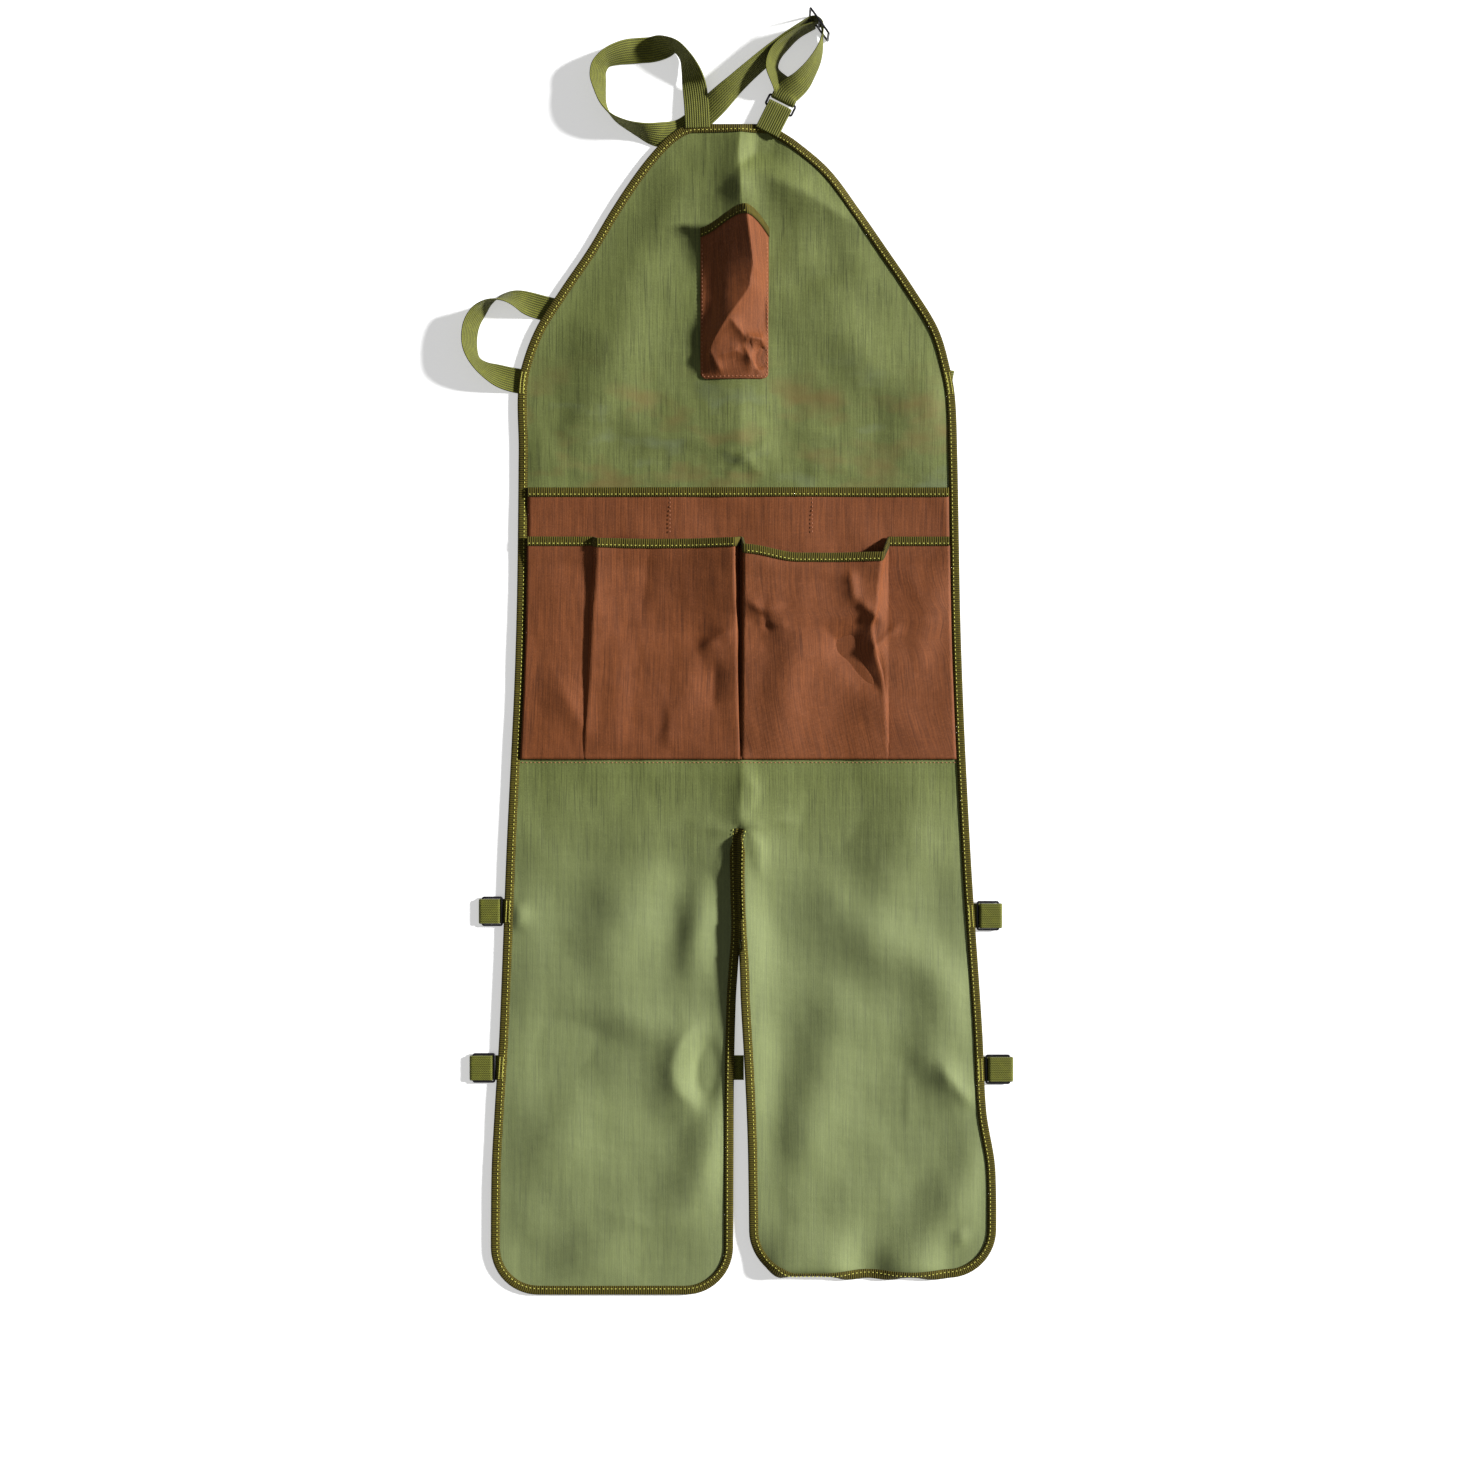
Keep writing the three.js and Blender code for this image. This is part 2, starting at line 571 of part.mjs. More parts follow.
function frontPocketColumns() {
  const columns = [];
  const flat = (at) => columns.push({ at, inwards: 0, rise: 0, droop: 0 });
  for (let k = 0; k < FLAT_STEPS; k += 1) {
    flat(THREE.MathUtils.lerp(-1, BELLOWS[0].left - 0.01, k / (FLAT_STEPS - 1)));
  }
  const wall = (pocket, side, k) => {
    const angle = radians(90 * k / WALL_STEPS);
    columns.push({
      at: pocket[side],
      inwards: (side === 'left' ? 1 : -1) * pocket[`${side}Lean`] * (1 - Math.cos(angle)),
      rise: pocket[`${side}Rise`] * Math.sin(angle),
      droop: pocket.droop * WALL_DROOP * k / WALL_STEPS,
    });
  };
  for (const pocket of BELLOWS) {
    for (let k = 0; k < WALL_STEPS; k += 1) {
      wall(pocket, 'left', k);
    }
    for (let k = 0; k <= TOP_STEPS; k += 1) {
      const t = k / TOP_STEPS;
      const middle = Math.sin(Math.PI * t);
      columns.push({
        at: THREE.MathUtils.lerp(pocket.left, pocket.right, t),
        inwards: THREE.MathUtils.lerp(pocket.leftLean, -pocket.rightLean, t),
        rise: THREE.MathUtils.lerp(pocket.leftRise, pocket.rightRise, t) - pocket.sag * middle,
        droop: pocket.droop * THREE.MathUtils.lerp(WALL_DROOP, 1, middle),
      });
    }
    for (let k = WALL_STEPS - 1; k >= 0; k -= 1) {
      wall(pocket, 'right', k);
    }
  }
  for (let k = 0; k < FLAT_STEPS; k += 1) {
    flat(THREE.MathUtils.lerp(BELLOWS[1].right + 0.01, 1, k / (FLAT_STEPS - 1)));
  }
  return columns;
}

const FRONT_COLUMNS = frontPocketColumns();
const FRONT_ROWS = [0, 0.05, 0.11, 0.2, 0.32, 0.42, 0.52, 0.66, 0.82, 1];

function frontPocketDepth(column) {
  const full = (POCKET_FOOT_SHARE - FRONT_POCKET_TOP_SHARE) * APRON_LENGTH;
  return full - FRONT_COLUMNS[column].droop * MOUTH_DROOP;
}

function frontPocketPoint(column, share) {
  const { at, inwards, rise } = FRONT_COLUMNS[column];
  const depth = share * frontPocketDepth(column);
  const y = POCKET_FOOT + frontPocketDepth(column) - depth;
  const left = outerEdge(-1, y, POCKET_INSET);
  const right = outerEdge(1, y, POCKET_INSET);
  const fade = along(BELLOWS_FADE, 'down', 'rise', share);
  const seam = at * POCKET_HALF_WIDTH + inwards * POCKET_RISE * fade;
  const x = THREE.MathUtils.clamp(Math.abs(at) === 1 ? at * HALF_WIDTH : seam, left, right);
  const base = FRONT_POCKET_LEVEL + relief(x, y) + 2 * mouthLift(depth);
  return new THREE.Vector3(x, y, base + rise * POCKET_RISE * fade);
}

const CHEST_COLUMNS = 13;
const CHEST_ROWS = [0, 0.035, 0.075, 0.15, 0.25, 0.36, 0.48, 0.6, 0.72, 0.86, 1];
const CHEST_FOOT = BIB_TOP - CHEST_POCKET_FOOT_SHARE * APRON_LENGTH;

// The mouth stands higher up the bib where the cloth is lifted
function chestPocketDepth(column) {
  const across = column / (CHEST_COLUMNS - 1);
  const lifted = Math.sin(Math.PI * across ** 1.5);
  return CHEST_POCKET_LENGTH * (1 + 0.12 * lifted);
}

function chestPocketPoint(column, share) {
  const across = column / (CHEST_COLUMNS - 1);
  const ridge = along(CHEST_RIDGE, 'down', 'across', share);
  const high = along(CHEST_RIDGE, 'down', 'high', share);
  const slope = across < ridge ? across / ridge : (1 - across) / (1 - ridge);
  const x = CHEST_POCKET_LEFT + across * CHEST_POCKET_WIDTH;
  const y = CHEST_FOOT + (1 - share) * chestPocketDepth(column);
  const depth = share * chestPocketDepth(column);
  const base = PANEL_TOP + LAYER_GAP + POCKET_WALL / 2 + relief(x, y) + mouthLift(depth);
  const bow = slope * (1.25 - 0.25 * slope);
  return new THREE.Vector3(x, y, base + CHEST_POCKET_RISE * high * bow);
}

function addPocket(name, columnCount, rows, pointAt, depthAt) {
  const normalAt = surfaceNormal(pointAt, columnCount - 1);
  addPart(name, clothWall(columnCount, rows, pointAt, normalAt, POCKET_WALL), brownCloth);
  addPart(`${name}_binding`, mouthBinding(columnCount, pointAt, depthAt, POCKET_WALL), oliveTape);
}

// A strap along stations, each with a centre and the direction of its width
function strap(stations) {
  const last = stations.length - 1;
  const frames = stations.map(({ centre, width }, k) => {
    const ahead = stations[Math.min(k + 1, last)].centre.clone().sub(stations[Math.max(k - 1, 0)].centre);
    const through = ahead.clone().cross(width).normalize();
    const square = through.clone().cross(ahead).normalize();
    const lowest = Math.abs(square.z) * WEBBING_WIDTH / 2 + Math.abs(through.z) * WEBBING_WALL / 2;
    return { centre: centre.clone().setZ(Math.max(centre.z, lowest)), through, width: square };
  });
  const place = (k, across, thick) => frames[k].centre.clone()
    .addScaledVector(frames[k].width, across)
    .addScaledVector(frames[k].through, thick);
  return carried(rectangle(WEBBING_WIDTH, WEBBING_WALL), stations.length, place);
}

// Direction of a strap's width from its plan heading and its tilt
function widthDirection(heading, tilt) {
  const level = Math.cos(radians(tilt));
  return new THREE.Vector3(
    level * Math.cos(radians(heading)),
    level * Math.sin(radians(heading)),
    Math.sin(radians(tilt)),
  );
}

// Half the height that a strap takes up with its width in a direction
function halfHeight(width) {
  return Math.abs(width.z) * WEBBING_WIDTH / 2 + Math.hypot(width.x, width.y) * WEBBING_WALL / 2;
}

// Even steps on a smooth plan curve through knots, the width's direction and the lower edge's height
// changing evenly from knot to knot
function smoothStations(knots, step) {
  const plan = new THREE.CatmullRomCurve3(knots.map((knot) => knot.centre), false, 'centripetal');
  const stations = [];
  for (let k = 0; k < knots.length - 1; k += 1) {
    const [from, to] = [knots[k], knots[k + 1]];
    const lows = [from, to].map((knot) => knot.centre.z - halfHeight(knot.width));
    const count = Math.max(Math.round(from.centre.distanceTo(to.centre) / step), 1);
    for (let n = 0; n < count; n += 1) {
      const centre = plan.getPoint((k + n / count) / (knots.length - 1));
      const width = from.width.clone().lerp(to.width, n / count).normalize();
      centre.z = THREE.MathUtils.lerp(lows[0], lows[1], n / count) + halfHeight(width);
      stations.push({ centre, width });
    }
  }
  stations.push({ centre: knots.at(-1).centre, width: knots.at(-1).width });
  return stations;
}

// Knot of a strap whose lower edge is at a height
function knotAt(x, y, { low, heading, tilt }) {
  const width = widthDirection(heading, tilt);
  return { centre: new THREE.Vector3(x, y, low * WEBBING_WIDTH + halfHeight(width)), width };
}

function neckKnot(row) {
  return knotAt(row.across * NECK_SPREAD, BIB_TOP + row.up * NECK_RISE, row);
}

function neckPlace(place, level) {
  return new THREE.Vector3(place.across * NECK_SPREAD, BIB_TOP + place.up * NECK_RISE, level);
}

// Hardware levels: a bar with webbing folded round it, above a strap that lies on the surface
const FOLD_RADIUS = Math.hypot(FRAME_BAR, FRAME_WALL) / 2 + LAYER_GAP + WEBBING_WALL / 2;
const RING_LEVEL = WEBBING_WALL + LAYER_GAP + FOLD_RADIUS + WEBBING_WALL / 2 + LAYER_GAP;
const ringCentre = neckPlace(RING_PLACE, RING_LEVEL);
const ringAxis = widthDirection(RING_PLACE.heading, 0);
const ringDown = widthDirection(RING_PLACE.heading - 90, 0);
const sliderCentre = neckPlace(SLIDER_PLACE, 0);
const sliderAxis = widthDirection(SLIDER_PLACE.heading, 0);
const sliderOut = widthDirection(SLIDER_PLACE.heading + 90, 0);
const SLIDER_SLOT = (SLIDER_LENGTH - 3 * FRAME_BAR) / 2;

// Knots of a fold round a bar: over it, past it and back under it
function foldKnots(bar, onward, width) {
  return [90, 60, 30, 0, -30, -60, -90].map((angle) => ({
    centre: bar.clone()
      .addScaledVector(onward, FOLD_RADIUS * Math.cos(radians(angle)))
      .add(new THREE.Vector3(0, 0, FOLD_RADIUS * Math.sin(radians(angle)))),
    width: width.clone(),
  }));
}

function sliderKnot(alongSlider, out) {
  const low = FRAME_BAR + LAYER_GAP;
  const centre = sliderCentre.clone()
    .addScaledVector(sliderAxis, alongSlider)
    .addScaledVector(sliderOut, out);
  centre.z = low + WEBBING_WIDTH / 2;
  return { centre, width: new THREE.Vector3(0, 0, 1) };
}

function makeNeckStrap() {
  const middle = (FRAME_BAR + SLIDER_SLOT) / 2;
  const clearOut = FRAME_WALL / 2 + LAYER_GAP + WEBBING_WALL / 2 + 0.2;
  const upperBar = ringCentre.clone().addScaledVector(ringDown, -(RING_SLOT + FRAME_BAR) / 2);
  const across = ringAxis.clone().negate();
  const approach = foldKnots(upperBar, ringDown, across);
  const before = { centre: approach[0].centre.clone().addScaledVector(ringDown, -6), width: across };
  const after = {
    centre: approach.at(-1).centre.clone().addScaledVector(ringDown, -6).setZ(WEBBING_WALL / 2 + 0.8),
    width: across,
  };
  const knots = [
    ...NECK_ROUTE.map(neckKnot),
    sliderKnot(-middle, -1),
    sliderKnot(-middle / 2, clearOut * 0.9),
    sliderKnot(0, clearOut * 1.1),
    sliderKnot(middle / 2, clearOut * 0.9),
    sliderKnot(middle, -1),
    ...NECK_OUTER_STRAND.map(neckKnot),
    before,
    ...approach,
    after,
    ...NECK_INNER_STRAND.map(neckKnot),
    sliderKnot(-1.5, -(FRAME_WALL / 2 + 1.2)),
  ];
  return strap(smoothStations(knots, 6));
}

// A frame plate with windows in a row along its length
function framePlate(length, height, windows, windowHeight, wall) {
  const plate = solid(closed(new THREE.BoxGeometry(length, height, wall)));
  const cuts = windows.map(({ middle, width }) => (
    solid(closed(new THREE.BoxGeometry(width, windowHeight, 2 * wall).translate(middle, 0, 0)))
  ));
  return geometryOf(cuts.reduce((rest, cut) => rest.subtract(cut), plate));
}

// A plate turned so that its length, height and wall follow three directions, about a centre
function placed(geometry, length, height, wall, centre) {
  const matrix = new THREE.Matrix4().makeBasis(length, height, wall);
  matrix.setPosition(centre);
  return geometry.applyMatrix4(matrix);
}

function makeNeckSlider() {
  const windowHeight = WEBBING_WIDTH + 2 * LAYER_GAP;
  const height = windowHeight + 2 * FRAME_BAR;
  const offset = (FRAME_BAR + SLIDER_SLOT) / 2;
  const windows = [-offset, offset].map((middle) => ({ middle, width: SLIDER_SLOT }));
  const plate = framePlate(SLIDER_LENGTH, height, windows, windowHeight, FRAME_WALL);
  const centre = sliderCentre.clone().setZ(height / 2);
  return placed(plate, sliderAxis, new THREE.Vector3(0, 0, 1), sliderOut.clone().negate(), centre);
}

function makeNeckRing() {
  const window = { middle: 0, width: RING_LENGTH - 2 * FRAME_BAR };
  const plate = framePlate(RING_LENGTH, RING_SLOT + 2 * FRAME_BAR, [window], RING_SLOT, FRAME_WALL);
  return placed(plate, ringAxis, ringDown.clone().negate(), new THREE.Vector3(0, 0, 1), ringCentre);
}

// Doubled tab: up from the bib, round the ring's lower bar and back on top of itself
function makeNeckTab() {
  const lowerBar = ringCentre.clone().addScaledVector(ringDown, (RING_SLOT + FRAME_BAR) / 2);
  const up = ringDown.clone().negate();
  const fold = foldKnots(lowerBar, up, ringAxis);
  const seat = TAPE_TOP + LAYER_GAP + WEBBING_WALL / 2;
  const sewn = (level, back) => ({
    centre: lowerBar.clone().addScaledVector(ringDown, back).setZ(level),
    width: ringAxis.clone(),
  });
  const upperSeat = seat + WEBBING_WALL + LAYER_GAP;
  const knots = [
    sewn(upperSeat, NECK_TAB_LENGTH),
    sewn(upperSeat, 0.69 * NECK_TAB_LENGTH),
    ...fold,
    sewn(seat, 0.4 * NECK_TAB_LENGTH),
    sewn(seat, 0.69 * NECK_TAB_LENGTH),
    sewn(seat, NECK_TAB_LENGTH),
  ];
  return strap(smoothStations(knots, 5));
}

// Steps of the waist strap's straight run under the bib
const WAIST_RUN_STEPS = 12;

function makeWaistStrap() {
  const seamX = WAIST_SEAM.across * HALF_WIDTH;
  const seamY = BIB_TOP - WAIST_SEAM.down * APRON_LENGTH;
  const knots = WAIST_ROUTE.map((row) => (
    knotAt(seamX + row.across * WAIST_LOOP_WIDTH, seamY + row.up * WAIST_LOOP_HEIGHT, row)
  ));
  const endX = WAIST_END.across * HALF_WIDTH;
  const endY = BIB_TOP - WAIST_END.down * APRON_LENGTH;
  const bottom = WEBBING_WALL / 2;
  const from = knots.at(-1).centre;
  const heading = Math.atan2(endY - from.y, endX - from.x);
  const width = new THREE.Vector3(Math.sin(heading), -Math.cos(heading), 0);
  for (let k = 1; k <= WAIST_RUN_STEPS; k += 1) {
    const share = k / WAIST_RUN_STEPS;
    knots.push({
      centre: new THREE.Vector3(
        THREE.MathUtils.lerp(from.x, endX, share),
        THREE.MathUtils.lerp(from.y, endY, share),
        bottom,
      ),
      width,
    });
  }
  const loop = smoothStations(knots.slice(0, WAIST_ROUTE.length), 9);
  return strap([...loop, ...knots.slice(WAIST_ROUTE.length)]);
}

function addLegStrap({ name, side, down, reach, inner }) {
  const y = BIB_TOP - down * APRON_LENGTH;
  const reachAt = (level) => side * outerEdge(side, level, 0);
  const edge = side * Math.max(reachAt(y - WEBBING_WIDTH), reachAt(y), reachAt(y + WEBBING_WIDTH));
  const fold = edge + side * reach * LEG_TAB_REACH;
  const level = WEBBING_WALL + LAYER_GAP + FRAME_WALL / 2;
  const radius = level - WEBBING_WALL / 2;
  const barSide = fold - side * (radius + WEBBING_WALL / 2);
  const at = (x, z) => ({ centre: new THREE.Vector3(x, y, z), width: new THREE.Vector3(0, 1, 0) });
  const start = side * inner * SLIT_GAPE;
  const stations = [
    at(start, WEBBING_WALL / 2),
    at(THREE.MathUtils.lerp(start, edge, 0.5), WEBBING_WALL / 2),
    at(edge, WEBBING_WALL / 2),
    ...[-90, -54, -18, 18, 54, 90].map((angle) => at(
      barSide + side * radius * Math.cos(radians(angle)),
      level + radius * Math.sin(radians(angle)),
    )),
    at(edge + side * 3.3, 2 * level - WEBBING_WALL / 2),
  ];
  addPart(`leg_strap_${name}`, strap(stations), oliveWebbing);
  const nearEdge = edge + side * LAYER_GAP;
  const length = Math.abs(barSide - nearEdge);
  const window = { middle: 0, width: length - 2 * FRAME_BAR };
  const windowHeight = WEBBING_WIDTH + 2 * LAYER_GAP;
  const plate = framePlate(length, windowHeight + 2 * FRAME_BAR, [window], windowHeight, FRAME_WALL);
  plate.translate((barSide + nearEdge) / 2, y, level);
  addPart(`leg_buckle_${name}`, plate, blackPlastic);
}

addPart('panel', makePanel(), greenCloth);
addPart('edge_binding', makeEdgeBinding(), oliveTape);
addPocket('back_pocket', BACK_POCKET_COLUMNS, BACK_POCKET_ROWS, backPocketPoint, backPocketDepth);
addPocket('front_pocket', FRONT_COLUMNS.length, FRONT_ROWS, frontPocketPoint, frontPocketDepth);
addPocket('chest_pocket', CHEST_COLUMNS, CHEST_ROWS, chestPocketPoint, chestPocketDepth);
addPart('neck_strap', makeNeckStrap(), oliveWebbing);
addPart('neck_tab', makeNeckTab(), oliveWebbing);
addPart('neck_ring', makeNeckRing(), blackPlastic);
addPart('neck_slider', makeNeckSlider(), blackPlastic);
addPart('waist_strap', makeWaistStrap(), oliveWebbing);
LEG_STRAPS.forEach(addLegStrap);

export default apron;
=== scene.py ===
"""Gardening apron with leg panels, three pockets, binding tape and webbing straps, lying face up."""

import math

import bpy
import numpy as np
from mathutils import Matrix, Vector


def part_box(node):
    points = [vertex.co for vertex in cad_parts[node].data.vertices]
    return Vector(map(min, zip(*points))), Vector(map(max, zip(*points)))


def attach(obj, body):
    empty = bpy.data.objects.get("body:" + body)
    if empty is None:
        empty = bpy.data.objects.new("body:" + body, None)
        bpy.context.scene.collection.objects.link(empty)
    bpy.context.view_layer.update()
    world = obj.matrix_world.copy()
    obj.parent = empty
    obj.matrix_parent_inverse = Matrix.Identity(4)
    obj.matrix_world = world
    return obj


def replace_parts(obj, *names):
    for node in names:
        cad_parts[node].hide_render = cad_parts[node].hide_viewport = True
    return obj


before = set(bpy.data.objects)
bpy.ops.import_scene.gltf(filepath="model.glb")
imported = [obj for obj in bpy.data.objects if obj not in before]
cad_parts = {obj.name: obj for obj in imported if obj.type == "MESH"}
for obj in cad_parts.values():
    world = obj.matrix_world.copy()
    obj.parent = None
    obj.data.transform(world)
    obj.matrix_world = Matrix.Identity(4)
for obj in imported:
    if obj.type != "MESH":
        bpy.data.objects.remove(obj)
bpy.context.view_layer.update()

bl_info = {
    "name": "Gardening Apron",
    "version": (1, 0, 0),
    "blender": (4, 5, 0),
    "location": "3D View > Sidebar > Apron",
    "description": "Cloth, tape, webbing and stitching of a gardening apron that lies face up",
    "category": "Add Mesh",
}

# Shapes are worked out in millimetres and scaled to metres when they become a mesh
MM = 0.001

# Outer edges: distance down from the bib's top as a share of the length, then the left and the right
# edge's distance from the centre line as shares of the half width
OUTLINE = np.array([
    (0, 0.196, 0.121), (0.004, 0.24, 0.149), (0.0145, 0.303, 0.224), (0.0385, 0.398, 0.354),
    (0.0727, 0.505, 0.473), (0.107, 0.6, 0.584), (0.141, 0.707, 0.691), (0.175, 0.806, 0.786),
    (0.21, 0.865, 0.834), (0.235, 0.877, 0.853), (0.278, 0.873, 0.861), (0.449, 0.885, 0.877),
    (0.62, 0.921, 0.913), (0.774, 0.9485, 0.96), (0.843, 0.968, 0.976), (0.894, 0.98, 1.012),
    (1, 0.984, 1.012),
])

# Edges of the slit between the legs: down the length, then left and right as shares of the gape
SLIT = np.array([
    (0.603, 0, 0), (0.607, 0.02, -0.12), (0.613, 0.03, -0.19), (0.65, 0, -0.22), (0.689, -0.05, -0.12),
    (0.72, 0.08, 0.01), (0.7485, 0.2, 0.07), (0.8126, 0.305, 0.305), (0.877, 0.33, 0.47), (1, 0.36, 0.57),
])

# Broad folds: place across and down, heading, half length, half width, height
FOLDS = [
    (0.02, 0.045, 90, 0.17, 0.075, 0.8), (0.24, 0.062, -25, 0.28, 0.09, 0.8),
    (0.33, 0.145, 12, 0.25, 0.1, 0.6), (-0.45, 0.2, 60, 0.3, 0.2, 0.5), (0.02, 0.245, 90, 0.25, 0.12, 0.5),
    (-0.22, 0.8, 80, 0.14, 0.08, 1), (-0.45, 0.66, 75, 0.35, 0.2, 0.6), (-0.6, 0.9, 20, 0.3, 0.18, 0.7),
    (0.55, 0.7, -34, 0.35, 0.12, 1), (0.25, 0.87, 85, 0.35, 0.12, 0.9), (0.8, 0.81, -50, 0.14, 0.07, 0.8),
]

# Narrow creases: points across and down in millimetres, height, then how far each side reaches: below
# or left of the line as it runs right or down, and above or right of it
CREASES = [
    ([(4, -22), (0, 16), (-1, 30), (0, 46), (3, 110)], 10, 21, 13),
    ([(-22, 38), (30, 56), (62, 69), (118, 103), (150, 124)], 7.5, 15, 30),
    ([(-14, 58), (8, 36), (21, 24), (44, 2)], -8, 24, 11),
    ([
        (-24, 900), (-37, 904), (-49, 912), (-58, 922), (-64, 934), (-67, 948), (-66, 962), (-60, 975),
        (-50, 986), (-37, 996), (-22, 1003),
    ], 7, 18, 13),
    ([(33, 164), (80, 154), (129, 144)], -3.3, 20, 16),
    ([(2, 262), (1, 320), (3, 366)], 2, 12, 9),
    ([(-4, 343), (34, 320)], 2.4, 5, 6),
    ([(14, 343), (-24, 325)], 2, 5, 6),
    ([(-2, 331), (28, 358)], 1.7, 5, 5),
    ([(10, 330), (-18, 363)], 1.7, 5, 5),
    ([(-110, 330), (-60, 318), (-20, 324)], 2.4, 8, 14),
    ([(-180, 300), (-120, 292)], 2.1, 8, 14),
    ([(40, 300), (100, 318), (150, 312)], 2.2, 9, 15),
    ([(-200, 345), (-140, 352)], 1.8, 8, 12),
    ([(60, 352), (120, 344)], 1.8, 8, 12),
    ([(3, 622), (4, 664), (1, 690), (0, 738)], 6, 13, 13),
    ([(8, 650), (14, 672), (10, 696)], 2.6, 5, 5),
    ([(-4, 712), (6, 705), (16, 706), (24, 712)], 3.2, 3.5, 3.5),
    ([(-2, 706), (10, 714), (20, 727), (26, 748)], 3.4, 4.5, 5),
    ([(6, 716), (16, 733), (24, 762)], 3.3, 7, 6),
    ([(-6, 716), (-16, 736), (-24, 764)], 2.7, 7, 8),
    ([(-2, 716), (-34, 706), (-60, 708)], 2.4, 8, 10),
    ([(4, 714), (40, 702), (66, 706)], 2.4, 8, 10),
    ([(-228, 782), (-220, 797), (-227, 814)], 4.5, 9, 8),
    ([(196, 940), (216, 968), (240, 996)], 6, 9, 14),
    ([(170, 940), (171, 980), (170, 1032)], 1.2, 9, 7),
    ([(218, 1112), (228, 1130)], 3, 7, 7),
    ([(-160, 1085), (-90, 1110), (-30, 1096)], 2.4, 14, 16),
]

# Soft swellings and hollows: place across and down, heading, half length, half width, height
SWELLS = [
    (14, 225, 88, 180, 80, 5), (-44, 812, 82, 48, 17, 8.8), (-110, 716, 6, 95, 22, 4.8),
    (-120, 800, 60, 70, 34, 4.8), (-34, 956, 88, 26, 13, -8.8), (-110, 905, -12, 60, 18, 3.8),
    (-36, 1045, 70, 60, 24, 8), (-180, 1010, 62, 62, 30, 6.4), (-120, 1120, 30, 60, 24, 3.8),
    (165, 742, 64, 60, 34, 7.2), (110, 800, 70, 40, 26, -3.2), (140, 826, -34, 92, 30, 4.8),
    (200, 900, 80, 60, 26, 4.8), (80, 960, 80, 90, 26, 4.8), (215, 1080, 60, 50, 24, 5.8),
    (110, 1085, 20, 70, 24, 3.5), (-70, 96, 58, 70, 26, 4.8), (-130, 236, 62, 84, 32, 6.1),
    (-60, 300, 20, 70, 26, 3.8), (120, 226, -40, 70, 30, 5.1), (60, 120, 70, 40, 22, 3.2),
    (170, 300, 50, 60, 30, 4.8), (80, 330, 10, 70, 22, 3.5), (-180, 330, 30, 50, 26, 4.2),
]

# How high the slit's edges stand: down the length in millimetres, then the left and the right edge
SLIT_LIFT = np.array([
    (711.6, 4, 4), (724, 1, 11), (790, 0, 13), (850, 0.5, 12), (940, 2, 9), (1040, 1, 6), (1120, 0, 2),
    (1180, 0, 0),
])

# Creases and dents of the raised pockets, as in the two tables above
FRONT_CREASES = [
    ([(-124, 503), (-100, 510), (-60, 513), (-2, 510)], -3.2, 12, 10),
    ([(4, 508), (-20, 517), (-44, 534)], 5, 9, 10),
    ([(-24, 536), (-27, 600)], -5, 12, 9),
    ([(-90, 405), (-94, 460), (-102, 516)], -7, 36, 13),
    ([(-66, 512), (-72, 575), (-88, 634)], -5.5, 32, 15),
    ([(0, 476), (24, 492), (48, 484)], 4.5, 6, 7),
    ([(22, 486), (31, 516)], -3.6, 6, 6),
    ([(-232, 512), (-196, 498), (-170, 506)], -3.4, 12, 8),
    ([(-78, 560), (-71, 600), (-72, 650)], 3, 9, 12),
    ([(-62, 430), (-46, 506)], 2.6, 16, 24),
    ([(80, 500), (118, 544), (158, 592)], -9, 13, 27),
    ([(110, 446), (117, 488)], 5, 9, 6),
    ([(114, 476), (148, 508)], 5, 6, 8),
    ([(124, 540), (166, 500)], 4.5, 8, 7),
    ([(14, 498), (56, 510)], 2.6, 8, 10),
    ([(60, 420), (64, 510)], 2, 20, 26),
    ([(-190, 550), (-146, 630)], 3.2, 14, 14),
    ([(170, 552), (210, 606)], -3, 18, 16),
    ([(165, 440), (190, 500)], 2.2, 14, 18),
]
FRONT_SWELLS = [
    (-115, 508, 0, 11, 9, -3), (114, 514, 50, 26, 11, -4), (-205, 470, 80, 18, 9, -3.5),
    (-60, 560, 70, 60, 30, 3), (-62, 474, 86, 62, 30, -4.5), (50, 560, 80, 60, 20, 4.5),
    (96, 600, 70, 50, 18, -4), (-124, 590, 84, 56, 16, 3.4), (190, 500, 75, 50, 16, 3),
]
CHEST_CREASES = [
    ([(0, 226), (10, 217), (22, 219), (30, 236)], 6, 7, 5),
    ([(2, 222), (12, 240), (24, 258)], 6, 7, 5),
    ([(-32, 226), (-16, 256)], 3.5, 7, 6),
    ([(-12, 196), (10, 222)], 4, 6, 6),
    ([(-30, 238), (-4, 230), (8, 236)], 3.5, 6, 7),
    ([(26, 150), (29, 200), (28, 222)], -3, 6, 4),
]
CHEST_SWELLS = [
    (20, 237, 74, 13, 5, -8), (-26, 170, 85, 40, 10, -2.5),
]

# How far the right raised pocket's outer fold wavers inwards, by the share of the way down
FOLD_WAVER = np.array([
    (0, 0), (0.1, 3), (0.27, 7), (0.37, 12.5), (0.5, 8.5), (0.6, 3), (0.72, 1), (1, 0),
])

# Raised middle pockets: left and right seam, how far each crest leans in, the crests' rise, the sag
# between them, the droop of the mouth, and how much of that the left and the right crest take
BELLOWS = [
    (-0.735, 0, 0.25, 0.3, 0.42, 0.8, 0.38, 0.15, 0.7, 0.7),
    (0.013, 0.703, 0.1, 0.35, 0.85, 0.8, 0.32, 1, 0.5, 0.95),
]

# How much of the rise is left further down the pocket
BELLOWS_FADE = np.array([(0, 1), (0.22, 0.92), (0.42, 0.58), (0.52, 0.6), (0.8, 0.32), (1, 0)])

